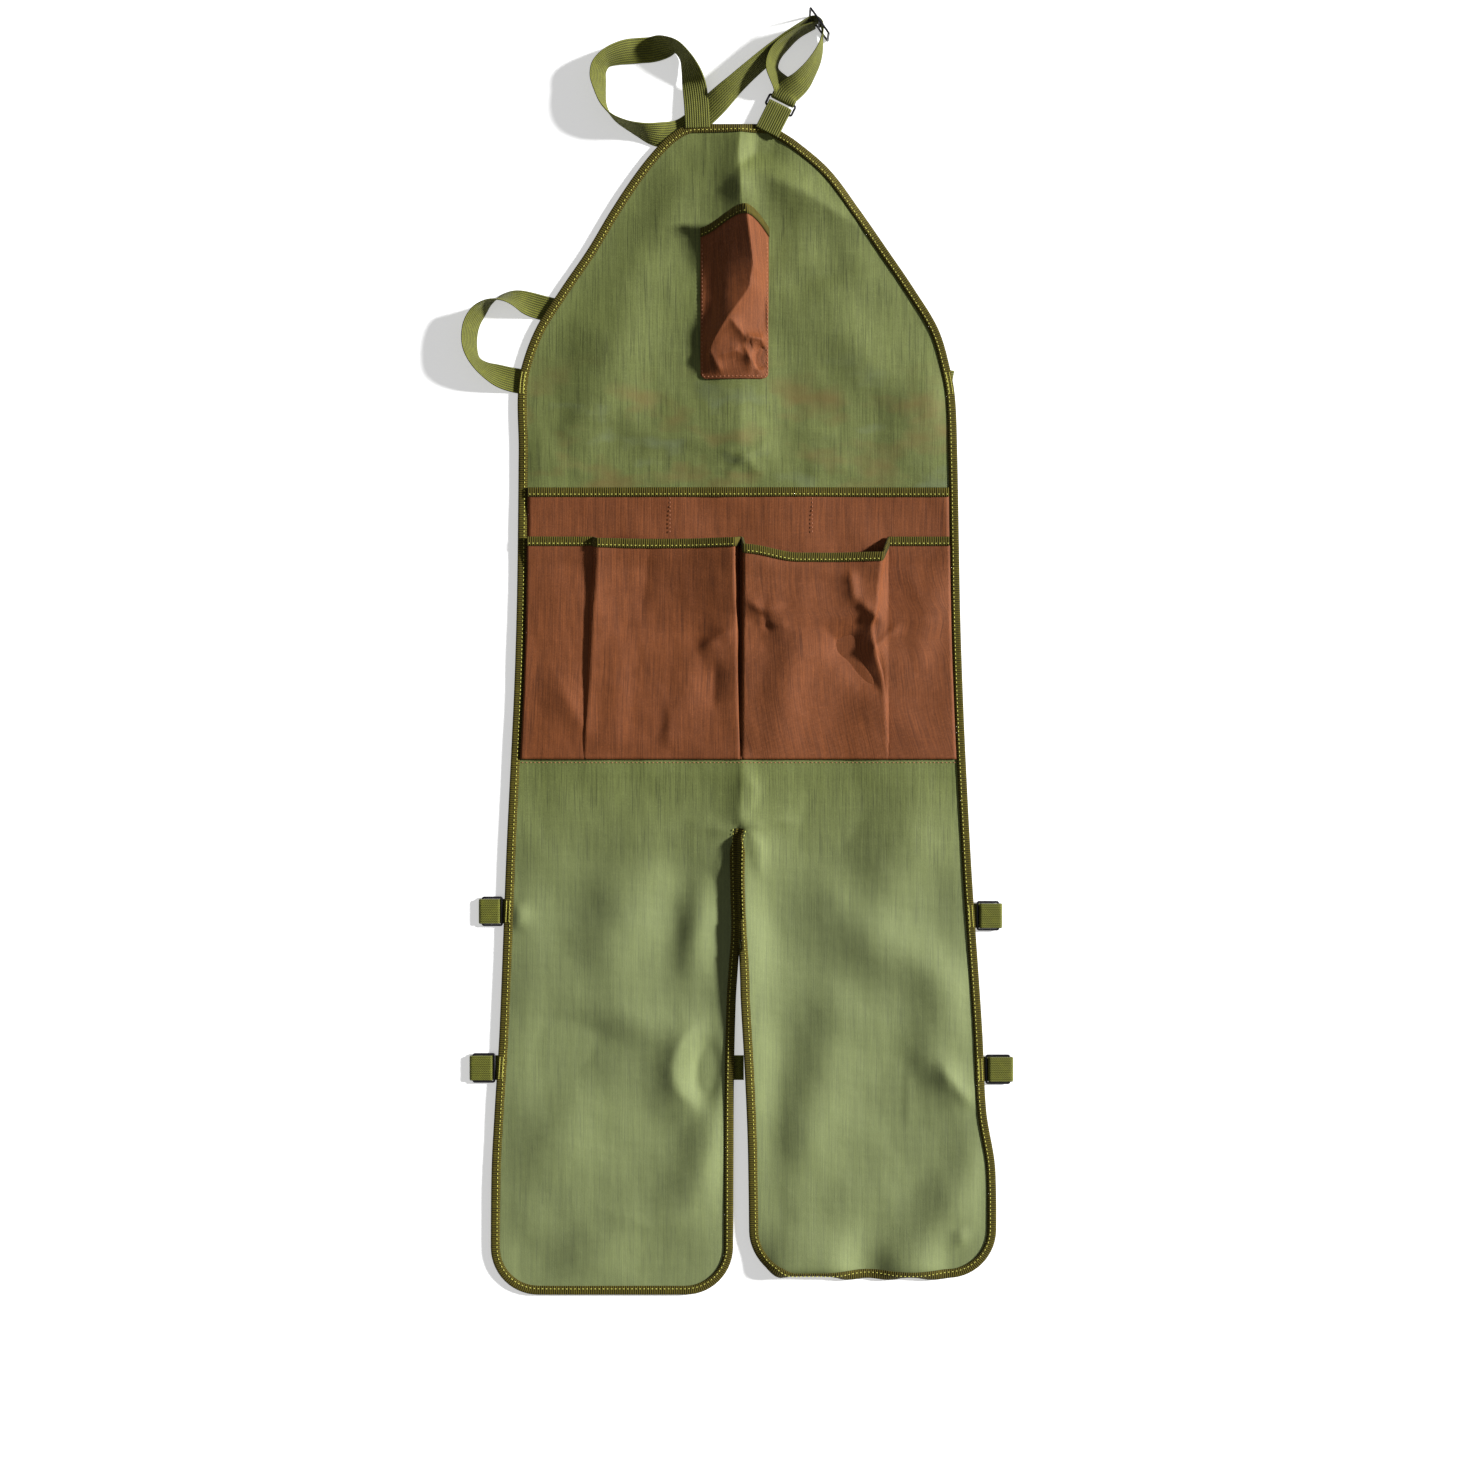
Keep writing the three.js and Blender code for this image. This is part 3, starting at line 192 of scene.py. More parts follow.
# Ridge of the chest pocket: down the pocket, across it, and its height
CHEST_RIDGE = np.array([
    (0, 0.667, 1), (0.16, 0.725, 0.95), (0.32, 0.77, 0.86), (0.4, 0.74, 0.8), (0.48, 0.7, 0.72),
    (0.57, 0.54, 0.62), (0.69, 0.3, 0.46), (0.8, 0.16, 0.28), (1, 0.12, 0),
])

# Strap routes: across, up, lower edge in webbing widths, plan heading of the width and its tilt
NECK_ROUTE = [
    (-0.176, -0.05, 0.22, 0, 0), (-0.178, 0.06, 0.22, 0, 0), (-0.181, 0.177, 0.2, 2, 0),
    (-0.189, 0.33, 0.14, 8, 12), (-0.204, 0.468, 0.05, 20, 42), (-0.232, 0.604, 0.01, 38, 70),
    (-0.27, 0.688, 0, 68, 76), (-0.317, 0.69, 0, 88, 42), (-0.37, 0.676, 0, 93, 10),
    (-0.435, 0.664, 0, 97, 14), (-0.503, 0.632, 0, 108, 42), (-0.561, 0.577, 0, 128, 60),
    (-0.59, 0.496, 0, 160, 54), (-0.593, 0.396, 0, 182, 50), (-0.585, 0.277, 0, 193, 64),
    (-0.57, 0.159, 0, 212, 76), (-0.532, 0.05, 0, 230, 86), (-0.469, -0.03, 0, 243, 98),
    (-0.418, -0.07, 0, 252, 112), (-0.372, -0.095, 0, 260, 132), (-0.317, -0.1, 0, 272, 162),
    (-0.25, -0.065, 0, 294, 180), (-0.187, 0.02, 0, 309, 180), (-0.137, 0.115, 0, 313, 178),
    (-0.075, 0.235, 0, 313, 150), (-0.02, 0.345, 0, 311, 132), (0.048, 0.477, 0, 310, 125),
    (0.128, 0.623, 0, 310, 121), (0.204, 0.755, 0.04, 308, 112), (0.263, 0.86, 0.1, 302, 98),
]
NECK_OUTER_STRAND = [
    (0.3435, 0.715, 0.08, 172, 84), (0.326, 0.595, 0.03, 158, 70), (0.292, 0.468, 0, 150, 56),
    (0.253, 0.36, 0.08, 149, 36),
]
NECK_INNER_STRAND = [
    (0.187, 0.322, 0.01, 172, 24), (0.158, 0.405, 0.01, 192, 44), (0.135, 0.496, 0, 178, 58),
    (0.147, 0.605, 0, 150, 62), (0.187, 0.71, 0, 140, 66), (0.242, 0.8, 0.06, 128, 78),
]
WAIST_ROUTE = [
    (0.15, -0.02, 0, 88, 0), (-0.012, 0, 0, 82, 0), (-0.188, 0.038, 0, 74, -16),
    (-0.365, 0.105, 0, 60, -48), (-0.5, 0.21, 0, 32, -66), (-0.553, 0.34, 0, 8, -58),
    (-0.559, 0.482, 0, -2, -55), (-0.53, 0.612, 0, -18, -55), (-0.447, 0.737, 0, -42, -60),
    (-0.324, 0.835, 0, -60, -86), (-0.182, 0.878, 0, -82, -112), (-0.035, 0.878, 0, -98, -138),
    (0.118, 0.835, 0, -107, -168), (0.235, 0.805, 0, -105, -180), (0.4, 0.765, 0, -103, -180),
]

# Leg straps: name, side, down the length, reach past the leg's edge, inner end as a share of the gape
LEG_STRAPS = [
    ("left_upper", -1, 0.6725, 0.99, 0.14),
    ("left_lower", -1, 0.8063, 1.06, -0.24),
    ("right_upper", 1, 0.6763, 1.05, 0.13),
    ("right_lower", 1, 0.8075, 1.14, 0.46),
]

# Hardware: across and up as shares of the neck strap's spread and rise, and plan heading
RING_PLACE = (0.1724, 0.168, -26.6)
SLIDER_PLACE = (0.333, 0.874, -54)

# Low ripples all over: height, more height at the waist, size, seed and how far they are drawn out
RIPPLES = [(2.8, 0, 130, 3, 1.3), (0.7, 0.3, 56, 8, 1.2), (0.15, 0.2, 26, 11, 0.6)]

# Rolled parts of the right hem: where each starts, is full, starts to end and ends, and how much it rolls
ROLLED = [(8, 62, 78, 128, 1), (130, 172, 172, 214, 0.7)]

# Lengths in millimetres, and places as shares of the length, the half width or the straps' spread
SLIT_TOP_SHARE, SLIT_GAPE = 0.603, 18
SLIT_LIFT_REACH, SLIT_LIFT_ABOVE = 26, 22
CREASE_EDGE, RIPPLE_EDGE, SWELL_EDGE = (-2, 7), (0, 40), (-4, 26)
RIGHT_LEG_SHORTER, HEM_RADIUS, FOLD_FADE = 17, 48, 36
WAIST, WAIST_REACH = 310, 45
ROLL, ROLL_RADIUS, ROLL_STAND, ROLL_FADE, ROLL_REACH = 12, 4.6, 3, 34, 90
EDGE_RIPPLE, EDGE_RIPPLE_SIZE, LOWEST = 0.25, 90, -0.8
TAPE_WALL, TAPE_EASE, LAYER_GAP = 0.7, 0.1, 0.3
BACK_TOP, FRONT_TOP, POCKET_FOOT = 0.3115, 0.3535, 0.5425
POCKET_HALF_WIDTH = 213
MOUTH_EASE, MOUTH_DROOP, SEAM_SLANT = 24, 17, 9.5
CHEST_LEFT, CHEST_WIDTH, CHEST_LENGTH, CHEST_FOOT, CHEST_CORNER = -39, 68, 151, 0.2185, 6
NECK_RISE, NECK_SPREAD = 111, 240
WAIST_LOOP, WAIST_SEAM, WAIST_END = (86, 93), (-0.8765, 0.219), (0.858, 0.2215)
LEG_REACH = 25
FRAME_WALL, FRAME_BAR, FRAME_CORNER = 2, 2.2, 1.6
RING_LENGTH, RING_SLOT, SLIDER_LENGTH = 31, 8.4, 33
NECK_TAB, TAB_FILL = 26, 3.2

# Rows and columns of the surfaces: body, leg and hem's corner; then the columns of one half
PANEL_ROWS, PANEL_COLUMNS = (186, 112, 15), 66
POCKET_ROWS = {"back_pocket": 68, "front_pocket": 92, "chest_pocket": 150}
BACK_COLUMNS, CHEST_COLUMNS = 108, 80
WEBBING_COLUMNS, WEBBING_RIBS, WEBBING_EDGE = 45, 11, 14

# Stitch lines: in from the tape's inner edge and from the pockets' foot, as a share of a pocket's depth,
# and their lift off the cloth and off the tape
TAPE_SEAM, MOUTH_SEAM, FOOT_SEAM, POCKET_SEAM, SEAM_LIFT, TAPE_LIFT = 3, 3.4, 3.4, 0.985, 0.6, 0.1

# Short rows that tack the straps to the edge: in from it, half length, pitch and a stitch's length; then
# side and place down of the waist strap's two
TACK_INSETS, TACK_HALF, TACK_PITCH, TACK_LONG = (2.2, 5.4), 11, 1.5, 1.4
WAIST_TACKS = [(-1, 0.221), (1, 0.2215)]

# Seams that divide the back pocket, across; then points along a mouth's, a foot's, a side's and such a seam
BACK_SEAMS = (-70, 73)
MOUTH_POINTS, FOOT_POINTS, SIDE_POINTS, SEAM_POINTS = 400, 300, 60, 30

# Stained band, and the start and full strength of the legs' paler tone, lighter towards the hem, in
# millimetres down
STAINS, PALE_LEGS = (260, 390), (660, 800)

# Stage, in metres and degrees: lamps are name, heading, elevation, strength and spread
LAMPS = [("key", 14, 24.5, 7.4, 6), ("side fill", 200, 60, 0.2, 60)]
FLOOR_HALF, FLOOR_GLOW, ROOM_LIGHT = 6, 0.45, 0.12
CAMERA, VIEW_WIDTH, SENSOR = (-0.0045, -0.0813, 2.4), 1.484, 36


def linear(red, green, blue):
    """Linear colour of 8-bit screen values, by the power that screens use."""
    return tuple((value / 255) ** 2.2 for value in (red, green, blue))


def sized(name, words, millimetres):
    """A length that the sidebar shows in the scene's units."""
    return bpy.props.FloatProperty(
        name=name, description=words, default=millimetres * MM, min=0, subtype="DISTANCE", unit="LENGTH",
    )


def coloured(name, words, *screen):
    """A colour that the sidebar shows as a swatch."""
    return bpy.props.FloatVectorProperty(
        name=name, description=words, default=linear(*screen), min=0, max=1, size=3, subtype="COLOR",
    )


BINDING_LOW, BINDING_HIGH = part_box("edge_binding")


class ApronSizes(bpy.types.PropertyGroup):
    """Lengths that the apron is made to."""

    length: sized("Length", "From the top of the bib to the hem", (BINDING_HIGH.y - BINDING_LOW.y) / MM)
    half_width: sized("Half width", "From the centre line to the widest point", 255)
    panel_wall: sized("Panel cloth", "Thickness of the green cloth", 1.2)
    pocket_wall: sized("Pocket cloth", "Thickness of the brown cloth", 1)
    tape_width: sized("Tape width", "Width of the folded binding on each face", 9.3)
    webbing_width: sized("Webbing width", "Width of the straps", 25)
    webbing_wall: sized("Webbing thickness", "Thickness of the straps", 1.6)
    fold_height: sized("Fold height", "Height of the broad folds", 5)
    pocket_rise: sized("Pocket rise", "How far the raised pockets stand up", 18)
    chest_rise: sized("Chest pocket rise", "How far the chest pocket stands open", 25)
    stitch_pitch: sized("Stitch pitch", "Distance from one stitch to the next", 4.1)
    rib_pitch: sized("Rib pitch", "Distance between the ribs of the tape", 2.2)


class ApronColours(bpy.types.PropertyGroup):
    """Colours of the apron's materials."""

    green: coloured("Panel cloth", "Sage green coated cloth", 106, 114, 62)
    brown: coloured("Pocket cloth", "Rust brown coated cloth", 123, 69, 37)
    tape: coloured("Binding tape", "Olive ribbed tape", 86, 78, 22)
    webbing: coloured("Webbing", "Olive strap", 104, 106, 26)
    thread: coloured("Thread", "Yellow green sewing thread", 204, 200, 92)
    brown_thread: coloured("Pocket thread", "Reddish brown sewing thread", 164, 104, 72)
    plastic: coloured("Plastic", "Black frames and slider", 22, 20, 24)
    floor: coloured("Floor", "Pale surface under the apron", 244, 244, 244)


def smooth(value, low, high):
    """A step from 0 to 1 between low and high with level ends, 3t² - 2t³."""
    t = np.clip((np.asarray(value, float) - low) / (high - low), 0, 1)
    return t * t * (3 - 2 * t)


def along(table, column, at):
    """Value of a table's column at places along its first column: a cubic between each two rows, whose
    end slopes are those between the rows' neighbours."""
    keys, values = table[:, 0], table[:, column]
    at = np.asarray(at, float)
    row = np.searchsorted(keys[1:-1], at)
    slope = np.gradient(values)
    slope[1:-1] = (values[2:] - values[:-2]) / (keys[2:] - keys[:-2])
    slope[[0, -1]] = (values[[1, -1]] - values[[0, -2]]) / (keys[[1, -1]] - keys[[0, -2]])
    span = keys[row + 1] - keys[row]
    t = np.clip((at - keys[row]) / span, 0, 1)
    blend = t * t * (3 - 2 * t)
    bend = span * (slope[row] * t * (1 - t) ** 2 + slope[row + 1] * t * t * (t - 1))
    return values[row] * (1 - blend) + values[row + 1] * blend + bend


def by_side(table, side, at):
    """The left or the right column of a table of edges, at places along its first column."""
    return np.where(np.asarray(side) < 0, along(table, 1, at), along(table, 2, at))


def wrinkles(x, y, size, seed, stretch=1.0):
    """Uneven ground from -1 to 1: the mean of plane waves with seeded headings, lengths and phases,
    drawn out down the length by stretch."""
    draw = np.random.default_rng(seed)
    total = np.zeros(np.broadcast(x, y).shape)
    for _ in range(14):
        heading, length, phase = draw.uniform(0, np.pi), size * draw.uniform(0.6, 1.7), draw.uniform(0, 7)
        total += np.sin(2 * np.pi * (x * np.cos(heading) + y / stretch * np.sin(heading)) / length + phase)
    return total / 6


def crease(x, y, points, high, left, right):
    """Height of a crease: high at a line through points, falling off sharply on each side as
    exp(-(d/w)^1.25) with its own width w, and running out towards both ends."""
    points = np.asarray(points, float)
    steps = np.diff(points, axis=0)
    spans = np.hypot(*steps.T)
    before = np.concatenate([[0], np.cumsum(spans)])
    nearest = np.full(np.broadcast(x, y).shape, 1e9)
    height = np.zeros(nearest.shape)
    for start, step, span, run in zip(points, steps, spans, before):
        ahead = ((x - start[0]) * step[0] + (y - start[1]) * step[1]) / span**2
        held = np.clip(ahead, 0, 1)
        away = np.hypot(x - start[0] - held * step[0], y - start[1] - held * step[1])
        side = step[0] * (y - start[1]) - step[1] * (x - start[0])
        share = (run + held * span) / before[-1]
        ends = smooth(share, 0, 0.38) * smooth(share, 1, 0.62)
        bell = high * np.exp(-((away / np.where(side > 0, left, right)) ** 1.25)) * ends
        height = np.where(away < nearest, bell, height)
        nearest = np.minimum(nearest, away)
    return height


def swelling(dx, dy, heading, long, wide, high):
    """A bell-shaped swelling, high·exp(-u² - v²), with u along its heading and v across it."""
    turn = math.radians(heading)
    lengthways = (dx * math.cos(turn) + dy * math.sin(turn)) / long
    crossways = (dy * math.cos(turn) - dx * math.sin(turn)) / wide
    return high * np.exp(-(lengthways**2) - crossways**2)


def uneven(x, down, creases, swells):
    """Height of a set of creases and of bell-shaped swellings."""
    height = np.zeros(np.broadcast(x, down).shape)
    for row in creases:
        height += crease(x, down, *row)
    for across, place, *shape in swells:
        height += swelling(x - across, place - down, *shape)
    return height


def run_along(path):
    """Distances along a path of points."""
    return np.concatenate([[0], np.cumsum(np.linalg.norm(np.diff(path, axis=0), axis=1))])


def resampled(path, pitch):
    """Points along a polyline at an even pitch, and their distances along it."""
    run = run_along(path)
    at = np.linspace(0, run[-1], max(int(round(run[-1] / pitch)), 2) + 1)
    return np.stack([np.interp(at, run, path[:, k]) for k in range(path.shape[1])], 1), at


def unit(vectors):
    """Vectors of length one."""
    return vectors / np.maximum(np.linalg.norm(vectors, axis=-1, keepdims=True), 1e-12)


def averaged(values, reach):
    """A running mean over reach rows to each side, with the end rows held."""
    if not reach:
        return values
    padded = np.concatenate([np.repeat(values[:1], reach, 0), values, np.repeat(values[-1:], reach, 0)])
    total = np.cumsum(np.concatenate([np.zeros_like(padded[:1]), padded]), 0)
    width = 2 * reach + 1
    return (total[width:] - total[:-width]) / width


class Apron:
    """The apron's cut and the way it lies, in millimetres. x runs across, y up towards the neck."""

    def __init__(self, sizes):
        for name in sizes.__annotations__:
            setattr(self, name, getattr(sizes, name) / MM)
        self.top = BINDING_HIGH.y / MM
        self.slit_top = self.level(SLIT_TOP_SHARE)
        self.panel_base = self.webbing_wall + 2 * LAYER_GAP + TAPE_WALL + self.panel_wall / 2
        self.panel_top = self.panel_base + self.panel_wall / 2
        self.tape_top = self.panel_top + LAYER_GAP + TAPE_WALL
        self.back_level = self.panel_top + LAYER_GAP + self.pocket_wall / 2
        self.front_level = self.back_level + self.pocket_wall + LAYER_GAP
        self.panel_inset = TAPE_WALL + 0.8
        self.pocket_inset = self.tape_width + LAYER_GAP + TAPE_EASE

    def level(self, down):
        """Height up the page of a share of the length."""
        return self.top - down * self.length

    def hem(self, side):
        """The hem's level; the right leg is shorter."""
        return self.top - self.length + np.where(np.asarray(side) > 0, RIGHT_LEG_SHORTER, 0)

    def corner(self, side, y, inset):
        """How far a hem's rounded corner draws an edge in, r - √(r² - h²)."""
        radius = HEM_RADIUS - inset
        above = np.maximum(self.hem(side) + HEM_RADIUS - y, 0)
        return radius - np.sqrt(np.maximum(radius**2 - above**2, 0))

    def outer(self, side, y, inset=0.0):
        """Outer edge at a level, set in square to its slope."""

        def at(level):
            return self.half_width * by_side(OUTLINE, side, (self.top - level) / self.length)

        slope = (at(y - 2) - at(y + 2)) / 4
        return side * (at(y) - inset * np.hypot(1, slope) - self.corner(side, y, inset))

    def inner(self, side, y, inset=0.0):
        """Slit's edge at a level; the centre line above the slit."""
        gape = SLIT_GAPE * by_side(SLIT, side, (self.top - y) / self.length)
        started = smooth(self.slit_top - y, 0, 0.9 * self.tape_width)
        return side * (gape + inset * started + self.corner(side, y, inset))

    def edge_distance(self, x, y):
        """Distance in from the nearest edge of the cloth."""
        side = np.where(x < 0, -1, 1)
        slit = np.where(y > self.slit_top, np.hypot(x, y - self.slit_top), (x - self.inner(side, y)) * side)
        lean = (self.outer(side, y - 2) - self.outer(side, y + 2)) / 4
        outside = (self.outer(side, y) - x) * side / np.hypot(1, lean)
        return np.minimum(np.minimum(slit, outside), np.minimum(self.top - y, y - self.hem(side)))

    def relief(self, x, y):
        """Height of the cloth above its flat level: bell-shaped broad folds that die out towards the
        edges, narrow creases, and a low ripple all over."""
        near = self.edge_distance(x, y)
        broad = np.zeros(np.broadcast(x, y).shape)
        for across, down, heading, long, wide, high in FOLDS:
            dx, dy = x - across * self.half_width, y - self.level(down)
            broad += swelling(dx, dy, heading, long * self.half_width, wide * self.half_width, high)
        down = self.top - y
        narrow, soft = uneven(x, down, CREASES, []), uneven(x, down, [], SWELLS)
        side = np.where(x > 0, 1, -1)
        in_leg = np.maximum((x - self.inner(side, y)) * side, 0)
        above = np.maximum(SLIT_LIFT[0, 0] - down, 0)
        lifted = by_side(SLIT_LIFT, side, down)
        lifted = lifted * np.exp(-((in_leg / SLIT_LIFT_REACH) ** 2) - (above / SLIT_LIFT_ABOVE) ** 2)
        waist = np.exp(-(((down - WAIST) / WAIST_REACH) ** 2))
        ripple = sum((high + more * waist) * wrinkles(x, y, *kind) for high, more, *kind in RIPPLES)
        edge = EDGE_RIPPLE + EDGE_RIPPLE * wrinkles(x, y, EDGE_RIPPLE_SIZE, 21)
        free = smooth(near, self.tape_width, self.tape_width + FOLD_FADE)
        height = self.fold_height * broad * free
        height += narrow * smooth(near, *CREASE_EDGE)
        height += ripple * smooth(near, *RIPPLE_EDGE)
        height += soft * smooth(near, *SWELL_EDGE) + lifted
        return np.maximum(height + edge, LOWEST)

    def lay(self, x, y, lift=0.0):
        """Points of a layer that lies on the relief at a height. The right leg's hem is rolled under in
        two places: past the roll's start the cloth runs round an arc, sin(ks)/k ahead and
        (1 - cos(ks))/k down, with the bend k set by the place across."""
        x, y, lift = np.broadcast_arrays(x, y, lift)
        weight = sum(
            share * smooth(x, start, full) * smooth(x, end, ending)
            for start, full, ending, end, share in ROLLED
        )
        start = self.hem(1) + ROLL
        in_right_leg = x > 10
        past = np.where(in_right_leg, np.maximum(start - y, 0), 0)
        bend = np.maximum(weight, 1e-3) / ROLL_RADIUS
        turn = bend * past
        raised = (1 - np.cos(bend * ROLL)) / bend + ROLL_STAND * weight
        inwards = np.exp(-((np.maximum(y - start, 0) / ROLL_FADE) ** 2)) * in_right_leg
        inwards *= smooth(y, start + ROLL_REACH, start)
        rolled_y = np.where(past > 0, start - np.sin(turn) / bend, y)
        height = self.relief(x, y) + raised * inwards - np.where(past > 0, (1 - np.cos(turn)) / bend, 0)
        return np.stack([x, rolled_y - lift * np.sin(turn), height + lift * np.cos(turn)], -1)


def quads(rows, columns, round_columns=False, round_rows=False):
    """Corner numbers of a grid's four-sided faces, joined round where a direction closes."""
    index = np.arange(rows * columns).reshape(rows, columns)
    if round_columns:
        index = np.concatenate([index, index[:, :1]], 1)
    if round_rows:
        index = np.concatenate([index, index[:1]], 0)
    corners = index[:-1, :-1], index[:-1, 1:], index[1:, 1:], index[1:, :-1]
    return np.stack(corners, -1).reshape(-1, 4)


def spread_out(grid):
    """Flat lengths over a grid: distances summed across each row and down each column."""
    across = np.linalg.norm(np.diff(grid, axis=1), axis=2)
    down = np.linalg.norm(np.diff(grid, axis=0), axis=2)
    u = np.concatenate([np.zeros((len(grid), 1)), np.cumsum(across, 1)], 1)
    v = np.concatenate([np.zeros((1, grid.shape[1])), np.cumsum(down, 0)], 0)
    return np.stack([u, v], -1)


def enclosed(points, faces):
    """Signed volume of a mesh, as the sum of its faces' fans seen from the origin."""
    total = 0.0
    for group in faces:
        first = points[group[:, 0]]
        for k in range(1, group.shape[1] - 1):
            total += np.einsum("ij,ij->", first, np.cross(points[group[:, k]], points[group[:, k + 1]]))
    return total


def new_piece(name, points, faces, flat, finish, slot, wall=None):
    """A mesh object from arrays, in metres, riding on the apron. Closed meshes are turned to face
    outwards; a sheet faces up and gets its wall from a Solidify modifier."""
    points = np.asarray(points, float).reshape(-1, 3)
    faces = [np.asarray(group) for group in faces if len(group)]
    if wall is None:
        if enclosed(points, faces) < 0:
            faces = [group[:, ::-1] for group in faces]
    else:
        a, b, d = (points[faces[0][:, k]] for k in (0, 1, 3))
        if np.cross(b - a, d - a)[:, 2].sum() < 0:
            faces = [group[:, ::-1] for group in faces]
    mesh = bpy.data.meshes.new(name)
    mesh.from_pydata((points * MM).tolist(), [], [face for group in faces for face in group.tolist()])
    if flat is not None:
        corners = np.empty(len(mesh.loops), np.int32)
        mesh.loops.foreach_get("vertex_index", corners)
        layer = mesh.uv_layers.new(name="cloth")
        layer.data.foreach_set("uv", (np.asarray(flat, float).reshape(-1, 2)[corners] * MM).ravel())
    mesh.materials.append(finish)
    mesh.shade_smooth()
    piece = bpy.data.objects.new(name, mesh)
    bpy.context.scene.collection.objects.link(piece)
    if wall is not None:
        modifier = piece.modifiers.new("Wall", "SOLIDIFY")
        modifier.thickness = wall * MM
        modifier.offset = 0
    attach(piece, "root")
    return piece


def welded(points, faces):
    """The same mesh with its doubled points made one."""
    _, first, index = np.unique(np.round(points, 4), axis=0, return_index=True, return_inverse=True)
    return points[first], index.reshape(-1)[faces]


def stitch_rows(rows, pitch, long=2.3, thick=0.44, seed=5):
    """Stitches at an even pitch along rows of points: each a closed spindle of three six-sided rings
    between two tips, its radius √(1 - 0.8t²) along its length, lying along its row."""
    turn = np.arange(6) * np.pi / 3
    ring = np.stack([np.cos(turn), 0.8 * np.sin(turn)], 1)
    body = np.concatenate([
        np.concatenate([np.full((6, 1), t * long / 2), ring * thick * np.sqrt(1 - t**2 * 0.8)], 1)
        for t in (-0.75, 0, 0.75)
    ])
    shape = np.concatenate([body, [[-long / 2, 0, -thick], [long / 2, 0, -thick]]])
    sides = quads(3, 6, round_columns=True)
    corner, after = np.arange(6), np.roll(np.arange(6), -1)
    tips = np.concatenate([
        np.stack([np.full(6, 18), after, corner], 1),
        np.stack([np.full(6, 19), 12 + corner, 12 + after], 1),
    ])
    draw = np.random.default_rng(seed)
    places, heads = [], []
    for row in rows:
        spaced, _ = resampled(row, pitch)
        places.append((spaced[1:] + spaced[:-1]) / 2)
        heads.append(unit(np.diff(spaced, axis=0)))
    places, heads = np.concatenate(places), np.concatenate(heads)
    ups = np.array([0.0, 0, 1])
    sideways = unit(np.cross(ups, heads))
    heads = unit(heads + sideways * draw.normal(0, 0.06, (len(heads), 1)))
    sideways = unit(np.cross(ups, heads))
    ups = np.cross(heads, sideways)
    points = (
        places[:, None]
        + shape[None, :, :1] * heads[:, None]
        + shape[None, :, 1:2] * sideways[:, None]
        + shape[None, :, 2:] * ups[:, None]
    )
    offsets = (np.arange(len(places)) * len(shape))[:, None, None]
    return points.reshape(-1, 3), [(sides + offsets).reshape(-1, 4), (tips + offsets).reshape(-1, 3)]


class Finish:
    """A procedural material whose nodes are added one by one."""

    def __init__(self, name, roughness):
        self.material = bpy.data.materials.new(name)
        self.material.use_nodes = True
        self.tree = self.material.node_tree
        self.shader = self.tree.nodes["Principled BSDF"]
        self.set(Roughness=roughness)

    def fill(self, socket, value):
        """Link a node's value to a socket, or set the socket's own."""
        if isinstance(value, bpy.types.NodeSocket):
            self.tree.links.new(value, socket)
        else:
            socket.default_value = value

    def node(self, kind, inputs, output=0, **settings):
        """A node with its settings and inputs; the socket that it gives."""
        made = self.tree.nodes.new("ShaderNode" + kind)
        for key, value in settings.items():
            setattr(made, key, value)
        for key, value in inputs.items():
            self.fill(made.inputs[key], value)
        return made.outputs[output]

    def place(self, scale=(1, 1, 1), on="UV"):
        """Coordinates on the piece, scaled."""
        return self.node("Mapping", {"Vector": self.node("TexCoord", {}, output=on), "Scale": scale})

    def noise(self, vector, scale, detail=3.0, rough=0.55):
        """Soft noise from 0 to 1."""
        inputs = {"Vector": vector, "Scale": scale, "Detail": detail, "Roughness": rough}
        return self.node("TexNoise", inputs)

    def bands(self, vector, pitch, axis="X", unevenness=0.0):
        """Even ribs with a pitch in metres."""
        inputs = {"Vector": vector, "Scale": math.pi / (10 * pitch), "Distortion": unevenness, "Detail": 2.0}
        return self.node("TexWave", inputs, output="Fac", bands_direction=axis, wave_profile="SIN")

    def maths(self, operation, first, second=0.0):
        """Arithmetic on two values."""
        return self.node("Math", {0: first, 1: second}, operation=operation)

    def stretched(self, value, low, high, to_low=0.0, to_high=1.0):
        """A value's range moved to another one, held at its ends."""
        inputs = {"Value": value, "From Min": low, "From Max": high, "To Min": to_low, "To Max": to_high}
        return self.node("MapRange", inputs)

    def mixed(self, share, first, second):
        """A mix of two colours."""
        inputs = {0: share}
        for key, tone in ((6, first), (7, second)):
            inputs[key] = tone if isinstance(tone, bpy.types.NodeSocket) else (*tuple(tone)[:3], 1)
        return self.node("Mix", inputs, output=2, data_type="RGBA")

    def tinted(self, tone, *tints):
        """A tone mixed with further colours, each up to a share where its value goes from low to high."""
        for value, low, high, share, colour in tints:
            tone = self.mixed(self.stretched(value, low, high, 0, share), tone, colour)
        return tone

    def bump(self, height, strength, distance, below=None):
        """A bumped normal, on top of another one."""
        inputs = {"Height": height, "Strength": strength, "Distance": distance}
        if below is not None:
            inputs["Normal"] = below
        return self.node("Bump", inputs)

    def set(self, **values):
        """Fill the shader's own sockets, named with _ for a space."""
        for name, value in values.items():
            self.fill(self.shader.inputs[name.replace("_", " ")], value)


def times(colour, factor):
    """A colour made lighter or darker."""
    return tuple(min(channel * factor, 1) for channel in tuple(colour)[:3])


